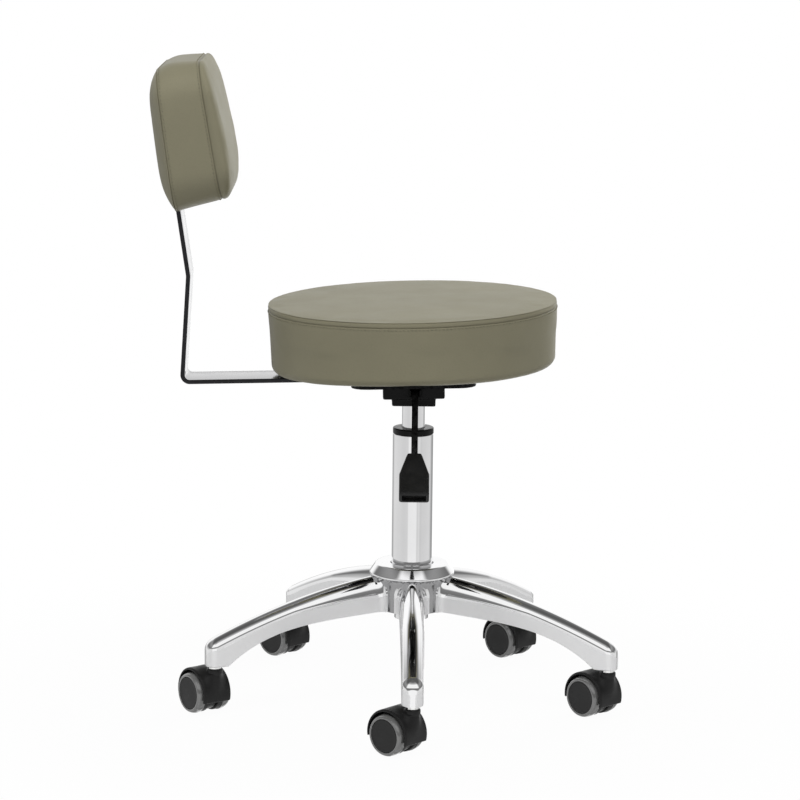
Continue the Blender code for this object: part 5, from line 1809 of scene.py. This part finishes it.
@dataclass
class TwinCaster:
    """A twin-wheel caster: hood with web, shoulder and neck, and two wheels with soft tyres."""

    bearings: Bearings
    number: int
    wheel_radius: float = 0.0250
    inner_face: float = 0.0063
    wheel_width: float = 0.0176
    tyre_depth: float = 0.0050
    hood_inner: float = 0.0278
    hood_outer: float = 0.0308
    hood_half: float = 0.0194
    hood_rear: float = math.radians(-10.0)
    hood_front: float = math.radians(196.0)
    web_half: float = 0.0056
    web_radius: float = 0.0225
    neck_radius: float = 0.0096
    neck_rise: float = 0.0026
    neck_depth: float = 0.0060
    shoulder: Profile = field(
        default_factory=lambda: [
            (75.0, 0.0), (90.0, 0.0018), (100.0, 0.0026), (112.0, 0.0048), (120.0, 0.0072), (128.0, 0.0104),
            (135.0, 0.0132), (141.0, 0.0112), (150.0, 0.0070), (160.0, 0.0038), (170.0, 0.0012), (180.0, 0.0),
        ]
    )
    shoulder_spread: float = 0.0090
    flange_radius: float = 0.0244
    flange_width: float = 0.0066
    axle_radius: float = 0.0040
    hood_steps: int = 48
    wheel_segments: int = 72
    voxel: float = 0.0008
    soften_passes: int = 7
    hood_edge: float = 0.0013
    web_edge: float = 0.0006

    def rim(self, angle: float) -> Profile:
        """Draw the hood's section.

        Args:
            angle: Where the section is, about the axle.

        Returns:
            Its points, as radius and place across.
        """
        half, edge = self.hood_half, self.hood_edge
        degrees, rises = zip(*self.shoulder)
        rise = np.interp(math.degrees(angle), degrees, rises)
        across = np.linspace(edge - half, half - edge, 17)
        crown = [(self.hood_outer + rise * math.exp(-((y / self.shoulder_spread) ** 2)), y) for y in across]
        low, high = self.hood_inner, self.hood_outer - edge
        return [(low, -half), (high, -half), *crown, (high, half), (low, half)]

    def hood(self, trail: float, axle: float) -> bpy.types.Mesh:
        """Return the hood in the caster's frame.

        Args:
            trail: Distance from the swivel to the axle.
            axle: The axle's height.

        Returns:
            The shell with its shoulder, the web between the wheels and the neck as one mesh.
        """
        outer = self.hood_outer
        rings = []
        for a in np.linspace(self.hood_rear, self.hood_front, self.hood_steps + 1):
            rings.append([(trail + r * math.cos(a), y, axle + r * math.sin(a)) for r, y in self.rim(a)])
        bodies = [shell("hood_shell", np.array(rings))]
        web = arc((trail, axle), outer - self.web_edge, self.hood_rear, self.hood_front, 40)
        web += arc((trail, axle), self.web_radius, self.hood_front, self.hood_rear + 2 * math.pi, 24)
        bodies.append(slab("hood_web", web, self.web_half, self.web_edge))
        neck_top = axle + outer + self.neck_rise
        neck_low, neck = neck_top - self.neck_depth, self.neck_radius
        corners = [
            (0.0, neck_low, 0.0), (neck, neck_low, 0.0), (neck, neck_top - 0.0008, 0.0007),
            (neck - 0.0010, neck_top, 0.0006), (0.0, neck_top, 0.0),
        ]
        bodies.append(shell("hood_neck", turned_rings(filleted(corners, 3), 48)))
        return softened(joined(f"caster_{self.number}_hood_shell", bodies), self.voxel, self.soften_passes)

    def wheel_profiles(self) -> tuple[Profile, Profile]:
        """Draw a wheel, along the axle from the caster's middle.

        Returns:
            The profiles of a core and a tyre.
        """
        face = self.inner_face + self.wheel_width
        rim = self.wheel_radius - self.tyre_depth
        flange = self.inner_face + self.flange_width
        bore, seat = self.axle_radius + 0.0004, rim - 0.0003
        core = filleted(
            [
                (bore, self.inner_face, 0.0003), (self.flange_radius, self.inner_face, 0.0008),
                (self.flange_radius, flange, 0.0003), (seat, flange, 0.0),
                (seat, face - 0.0010, 0.0007), (rim - 0.0016, face - 0.0007, 0.0005),
                (rim - 0.0040, face - 0.0009, 0.0010), (0.0040, face - 0.0008, 0.002),
                (0.0, face - 0.0008, 0.0),
            ],
            3,
        )
        tyre = filleted(
            [
                (rim, flange + 0.0002, 0.0003), (self.wheel_radius - 0.0004, flange + 0.0002, 0.0004),
                (self.wheel_radius, flange + 0.0010, 0.0005), (self.wheel_radius, face - 0.0058, 0.0020),
                (self.wheel_radius - 0.0012, face - 0.0022, 0.0018), (rim + 0.0020, face, 0.0018),
                (rim, face - 0.0006, 0.0004),
            ],
            5,
            closed=True,
        )
        return core, tyre

    def build(self, dresser: Dresser) -> None:
        """Make the hood and both wheels.

        Args:
            dresser: Puts the finished meshes into the scene.
        """
        place, trail, axle = self.bearings.caster(self.number)
        name = f"caster_{self.number}"
        hood = placed(self.hood(trail, axle), place)
        dresser.dress(hood, name, Slot.NYLON, [f"{name}_hood"])
        core, tyre = self.wheel_profiles()
        disc = dresser.wardrobe.own(
            DarkFinish(
                "wheel_disc_nylon", (0.018, 0.018, 0.018), (0.44, 0.56), 0.0006, 0.00003, specular=0.35
            )
        )
        for side in Side:
            wheel = f"{name}_{side.name.lower()}"
            turn = Matrix.Translation((trail, 0.0, axle)) @ Matrix.Rotation(-side.value * math.pi / 2, 4, "X")
            body = f"{wheel}_wheel"
            wheel_core = shell(f"{wheel}_disc", turned_rings(core, self.wheel_segments))
            wheel_tyre = shell(f"{wheel}_tread", turned_rings(tyre, self.wheel_segments), loop=True)
            dresser.dress(placed(wheel_core, place, turn), body, Slot.NYLON, [f"{wheel}_core"], own=disc)
            dresser.dress(placed(wheel_tyre, place, turn), body, Slot.RUBBER, [f"{wheel}_tyre"])


@dataclass
class LeverPaddle:
    """The moulded grip on the release lever: a neck that widens to a thick end with a shallow window."""

    bearings: Bearings
    run: float = 0.0580
    pivot_reach: float = 0.0200
    slope: float = math.radians(41.0)
    arm_length: float = 0.1200
    socket: float = 0.0260
    length: float = 0.0640
    neck_length: float = 0.0320
    neck_width: float = 0.0170
    width: float = 0.0355
    neck_thickness: float = 0.0100
    end_thickness: float = 0.0180
    end_round: float = 0.0022
    end_shrink: float = 0.0030
    corner: float = 0.0034
    window_margin: float = 0.0036
    window_depth: float = 0.0045
    window_draft: float = 0.0006
    window_corners: tuple[float, float] = (0.0012, 0.0010)
    mouth_shrink: float = 0.003
    mouth_length: float = 0.0012
    mouth_corners: tuple[float, float] = (0.002, 0.003)

    def ring(
        self, along: float, width: float, thickness: float, corner: float
    ) -> list[tuple[float, float, float]]:
        """Draw the paddle's section, a rectangle with round corners.

        Args:
            along: Where the section is, along the paddle.
            width: The rectangle's width.
            thickness: Its height.
            corner: Radius of its corners.

        Returns:
            The section's points.
        """
        x, z = width / 2, thickness / 2
        corners = [(x, -z, corner), (x, z, corner), (-x, z, corner), (-x, -z, corner)]
        return [(px, along, pz) for px, pz in filleted(corners, 6, closed=True)]

    def build(self, dresser: Dresser) -> None:
        """Make the paddle.

        Args:
            dresser: Puts the finished meshes into the scene.
        """
        start, tip = self.socket, self.socket - self.length
        neck = start - self.neck_length
        middle = (self.neck_thickness + self.end_thickness) / 2
        wide, thick = self.neck_width, self.neck_thickness
        rows = [
            self.ring(start, wide - self.mouth_shrink, thick - self.mouth_shrink, self.mouth_corners[0]),
            self.ring(start - self.mouth_length, wide, thick, self.mouth_corners[1]),
        ]
        for s in np.linspace(0.12, 1.0, 14):
            wide = self.neck_width + (self.width - self.neck_width) * s
            thick = self.neck_thickness + (middle - self.neck_thickness) * s
            rows.append(self.ring(start + (neck - start) * s, wide, thick, self.corner))
        for s in np.linspace(0.2, 1.0, 5):
            thick = middle + (self.end_thickness - middle) * s
            rows.append(self.ring(neck + (tip + self.end_round - neck) * s, self.width, thick, self.corner))
        for s in (0.35, 0.7, 1.0):
            shrink = self.end_shrink * (1 - math.sqrt(max(0.0, 1 - s * s)))
            wide, thick = self.width - shrink, self.end_thickness - shrink
            rows.append(self.ring(tip + self.end_round * (1 - s), wide, thick, self.corner))
        margin = 2 * self.window_margin
        wide, thick = self.width - margin, self.end_thickness - margin
        rows.append(self.ring(tip, wide, thick, self.window_corners[0]))
        wide, thick = wide - self.window_draft, thick - self.window_draft
        rows.append(self.ring(tip + self.window_depth, wide, thick, self.window_corners[1]))
        reach = self.pivot_reach - self.run
        end = (0.0, reach - math.cos(self.slope) * self.arm_length, -math.sin(self.slope) * self.arm_length)
        place = Matrix.Translation(self.bearings.lever_pivot) @ Matrix.Translation(end)
        mesh = shell("lever_grip_paddle", np.array(rows))
        tilted = placed(mesh, place, Matrix.Rotation(self.slope, 4, "X"))
        dresser.dress(tilted, "lever", Slot.NYLON, ["lever_paddle"])


@dataclass
class MechanismCase:
    """The pressed housing under the seat, with the rounded corners of folded sheet."""

    voxel: float = 0.0009
    soften_passes: int = 26

    def build(self, dresser: Dresser) -> None:
        """Make the housing from its node's shape, with softer corners.

        Args:
            dresser: Puts the finished meshes into the scene.
        """
        node = dresser.frame["nodes"]["mechanism_housing"]
        mesh = placed(node.data.copy(), node.matrix_world)
        mesh.name = "mechanism_case"
        mesh.materials.clear()
        soft = softened(mesh, self.voxel, self.soften_passes)
        coated = DarkFinish(
            "housing_coated_steel", (0.004, 0.004, 0.004), (0.24, 0.36), 0.0007, 0.00004, specular=0.13
        )
        dresser.dress(soft, "seat", Slot.BLACK_STEEL, ["mechanism_housing"], own=dresser.wardrobe.own(coated))


# Studio


@dataclass
class PhotoCamera:
    """The camera, placed as the photograph was taken."""

    column: Vector
    offset: tuple[float, float, float] = (0.0, -3.964, 1.096)
    pitch: float = math.radians(10.29)
    yaw: float = math.radians(-0.242)
    roll: float = math.radians(0.611)
    lens: float = 148.89

    def build(self) -> None:
        """Make the camera and use it."""
        data = bpy.data.cameras.new("photo_camera")
        data.sensor_width = 36.0
        data.lens = self.lens
        data.clip_end = 60.0
        flat = Vector((math.sin(self.yaw), math.cos(self.yaw), 0.0))
        forward = flat * math.cos(self.pitch) - Vector((0.0, 0.0, math.sin(self.pitch)))
        right = Vector((math.cos(self.yaw), -math.sin(self.yaw), 0.0))
        up = right.cross(forward)
        side = right * math.cos(self.roll) + up * math.sin(self.roll)
        top = up * math.cos(self.roll) - right * math.sin(self.roll)
        turn = Matrix((side, top, -forward)).transposed().to_4x4()
        camera = bpy.data.objects.new("photo_camera", data)
        camera.matrix_world = Matrix.Translation(self.column + Vector(self.offset)) @ turn
        bpy.context.scene.collection.objects.link(camera)
        bpy.context.scene.camera = camera
        LOG.info("camera %s", data.name)


@dataclass
class Studio:
    """Pale floor, soft lamps and a white room that bright metal can mirror."""

    column: Vector
    floor_radius: float = 9.0
    floor_tone: float = 0.62
    floor_lift: float = 0.97
    floor_middle: float = 0.2
    floor_segments: int = 96
    floor_fade: tuple[float, float] = (0.25, 0.80)
    ambient: float = 0.40
    lamps: tuple = (
        ("overhead_box", (-0.2, -1.2, 2.5), (1.1, 0.8), 25.0),
        ("left_strip", (-2.0, -1.9, 0.95), (0.5, 1.7), 6.0),
        ("right_strip", (2.1, -1.4, 0.95), (0.5, 1.7), 4.5),
        ("right_panel", (1.3, 1.5, 1.20), (0.9, 1.2), 24.0),
    )
    aim_height: float = 0.42
    front_bands: tuple[tuple[float, float], ...] = (
        (0.50, 0.40), (0.53, 0.16), (0.61, 0.20), (0.645, 0.95), (0.79, 0.95), (0.84, 0.40), (0.91, 0.12),
    )
    side_bands: tuple[tuple[float, float], ...] = (
        (0.50, 0.75), (0.56, 0.45), (0.60, 0.16), (0.74, 0.28), (0.84, 0.10),
    )
    back_bands: tuple[tuple[float, float], ...] = ((0.50, 1.0), (0.69, 1.0), (0.76, 0.18), (1.0, 0.08))
    low_bands: tuple[tuple[float, float], ...] = (
        (0.01, 0.50), (0.08, 0.40), (0.16, 0.80), (0.27, 0.76), (0.36, 0.72), (0.42, 0.74), (0.44, 0.94),
        (0.555, 0.95), (0.575, 0.72), (0.60, 0.80), (0.625, 0.68), (0.66, 0.72), (0.80, 0.76),
        (0.87, 0.35), (0.90, 0.40), (0.955, 1.30), (1.0, 1.30),
    )

    def build(self) -> None:
        """Make the floor, the lamps and the world."""
        self.floor()
        for name, place, size, power in self.lamps:
            self.lamp(name, Vector(place), size, power)
        self.room()
        view = bpy.context.scene.view_settings
        view.view_transform = "Standard"

    def floor(self) -> None:
        """Make the floor, which looks white to the camera and keeps a soft shadow."""
        middle = self.floor_radius * self.floor_middle
        rings = turned_rings([(middle, 0.0), (self.floor_radius, 0.0)], self.floor_segments)
        mesh = bpy.data.meshes.new("studio_floor")
        count = rings.shape[1]
        points = rings.reshape(-1, 3).tolist()
        faces = [list(range(count))]
        faces += [[j, (j + 1) % count, count + (j + 1) % count, count + j] for j in range(count)]
        mesh.from_pydata(points, [], faces)
        floor = bpy.data.objects.new("studio_floor", mesh)
        bpy.context.scene.collection.objects.link(floor)
        material, sheet = surface("studio_floor")
        path = sheet.add("ShaderNodeLightPath").outputs
        seen = sheet.math("MAXIMUM", path["Is Camera Ray"], path["Is Transmission Ray"])
        point = sheet.add("ShaderNodeTexCoord").outputs["Object"]
        far = sheet.add("ShaderNodeVectorMath", {0: point}, operation="LENGTH").outputs["Value"]
        share = sheet.math("MULTIPLY", seen, sheet.spread(far, *self.floor_fade, self.floor_lift, 1.0))
        tone = (self.floor_tone, self.floor_tone, self.floor_tone, 1.0)
        matt = sheet.add("ShaderNodeBsdfDiffuse", {"Color": tone})
        glow = sheet.add("ShaderNodeEmission", {"Color": (1.0, 1.0, 1.0, 1.0), "Strength": 1.0})
        mixed = sheet.add("ShaderNodeMixShader", {0: share, 1: matt.outputs[0], 2: glow.outputs[0]})
        sheet.add("ShaderNodeOutputMaterial", {"Surface": mixed.outputs[0]})
        mesh.materials.append(material)
        floor.visible_glossy = False

    def lamp(self, name: str, place: Vector, size: tuple[float, float], power: float) -> None:
        """Make one soft box that looks at the middle of the stool.

        Args:
            name: The lamp's name.
            place: Where it hangs, from the column's foot.
            size: Its width and height.
            power: Its power in watts.
        """
        data = bpy.data.lights.new(name, "AREA")
        data.shape = "RECTANGLE"
        data.size, data.size_y = size
        data.energy = power
        lamp = bpy.data.objects.new(name, data)
        aim = self.column + Vector((0.0, 0.0, self.aim_height)) - (self.column + place)
        turn = aim.to_track_quat("-Z", "Y").to_matrix().to_4x4()
        lamp.matrix_world = Matrix.Translation(self.column + place) @ turn
        lamp.visible_glossy = False
        bpy.context.scene.collection.objects.link(lamp)

    def room(self) -> None:
        """Make the world: white to the camera, even light, and a room with darker bands for mirrors."""
        world = bpy.data.worlds.new("studio_room")
        world.use_nodes = True
        bpy.context.scene.world = world
        sheet = NodeSheet(world.node_tree)
        way = sheet.add("ShaderNodeTexCoord").outputs["Generated"]
        axes = sheet.add("ShaderNodeSeparateXYZ", {"Vector": way}).outputs
        height = sheet.math("ADD", sheet.math("DIVIDE", sheet.math("ARCSINE", axes["Z"]), math.pi), 0.5)
        toward = sheet.math("MULTIPLY", axes["Y"], -1.0)
        bearing = sheet.math("ARCTAN2", axes["X"], toward)
        turn = sheet.math("ADD", sheet.math("DIVIDE", bearing, 2 * math.pi), 0.5)
        rise = sheet.math("MULTIPLY", axes["Z"], axes["Z"])
        level = sheet.math("SQRT", sheet.math("SUBTRACT", 1.001, rise))
        facing = sheet.math("DIVIDE", toward, level)
        front = sheet.ramp(height, self.front_bands)
        side = sheet.ramp(height, self.side_bands)
        back = sheet.ramp(height, self.back_bands)
        rear = sheet.blend(sheet.spread(facing, -0.85, -0.60, 1.0, 0.0), side, back)
        above = sheet.blend(sheet.spread(facing, 0.55, 0.80, 0.0, 1.0), rear, front)
        below = sheet.ramp(turn, self.low_bands)
        mirror = sheet.blend(sheet.spread(axes["Z"], -0.02, 0.02, 0.0, 1.0), below, above)
        path = sheet.add("ShaderNodeLightPath").outputs
        seen = sheet.math("MAXIMUM", path["Is Camera Ray"], path["Is Transmission Ray"])
        light = sheet.add("ShaderNodeBackground", {"Color": (1.0, 1.0, 1.0, 1.0), "Strength": self.ambient})
        white = sheet.add("ShaderNodeBackground", {"Color": (1.0, 1.0, 1.0, 1.0), "Strength": 1.0})
        mirrored = sheet.add("ShaderNodeBackground", {"Color": mirror, "Strength": 1.0})
        plain = sheet.add("ShaderNodeMixShader", {0: seen, 1: light.outputs[0], 2: white.outputs[0]})
        whole = sheet.add(
            "ShaderNodeMixShader", {0: path["Is Glossy Ray"], 1: plain.outputs[0], 2: mirrored.outputs[0]}
        )
        sheet.add("ShaderNodeOutputWorld", {"Surface": whole.outputs[0]})


KEPT_NODES = {
    Slot.STEEL: ("thrust_bearing", "retaining_clip", "piston_rod", "release_pin"),
    Slot.BLACK_STEEL: ("seat_plate", "lever_bar"),
    Slot.BOARD: ("back_board",),
}
SCREWS = {"seat_screw": 4, "bar_screw": 2, "back_screw": 2}


def repaint_kept_nodes(dresser: Dresser) -> None:
    """Give every CAD node that keeps its shape its finish.

    Args:
        dresser: Gives the nodes their finishes.
    """
    for slot, nodes in KEPT_NODES.items():
        for node in nodes:
            dresser.repaint(node, slot)
    for kind, count in SCREWS.items():
        for number in range(1, count + 1):
            dresser.repaint(f"{kind}_{number}", Slot.STEEL)
    for number in CASTERS:
        for part in ("stem", "axle"):
            dresser.repaint(f"caster_{number}_{part}", Slot.STEEL)


def main() -> None:
    """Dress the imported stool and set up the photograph's view."""
    logging.basicConfig(level=logging.INFO, format="%(name)s: %(message)s")
    for obj in list(bpy.data.objects):
        bpy.data.objects.remove(obj)
    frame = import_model()
    bearings = Bearings(frame)
    dresser = Dresser(frame)
    PhotoCamera(bearings.column).build()
    Studio(bearings.column).build()

    low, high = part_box("base_casting")
    swivel = Vector(bearings.joints["caster_1_swivel"]["pos_m"]) - bearings.column
    FiveArmBase(bearings, low.z, high.z, swivel.to_2d().length).build(dresser)
    GasLift(bearings).build(dresser)
    for number in CASTERS:
        TwinCaster(bearings, number).build(dresser)
    LeverPaddle(bearings).build(dresser)
    MechanismCase().build(dresser)
    bar = BackBar(bearings)
    bar.build(dresser)
    SeatBoard(bearings).build(dresser)
    SeatUpholstery(bearings).build(dresser)
    BackUpholstery(bar.pad_place()).build(dresser)
    repaint_kept_nodes(dresser)


if __name__ == "__main__":
    main()
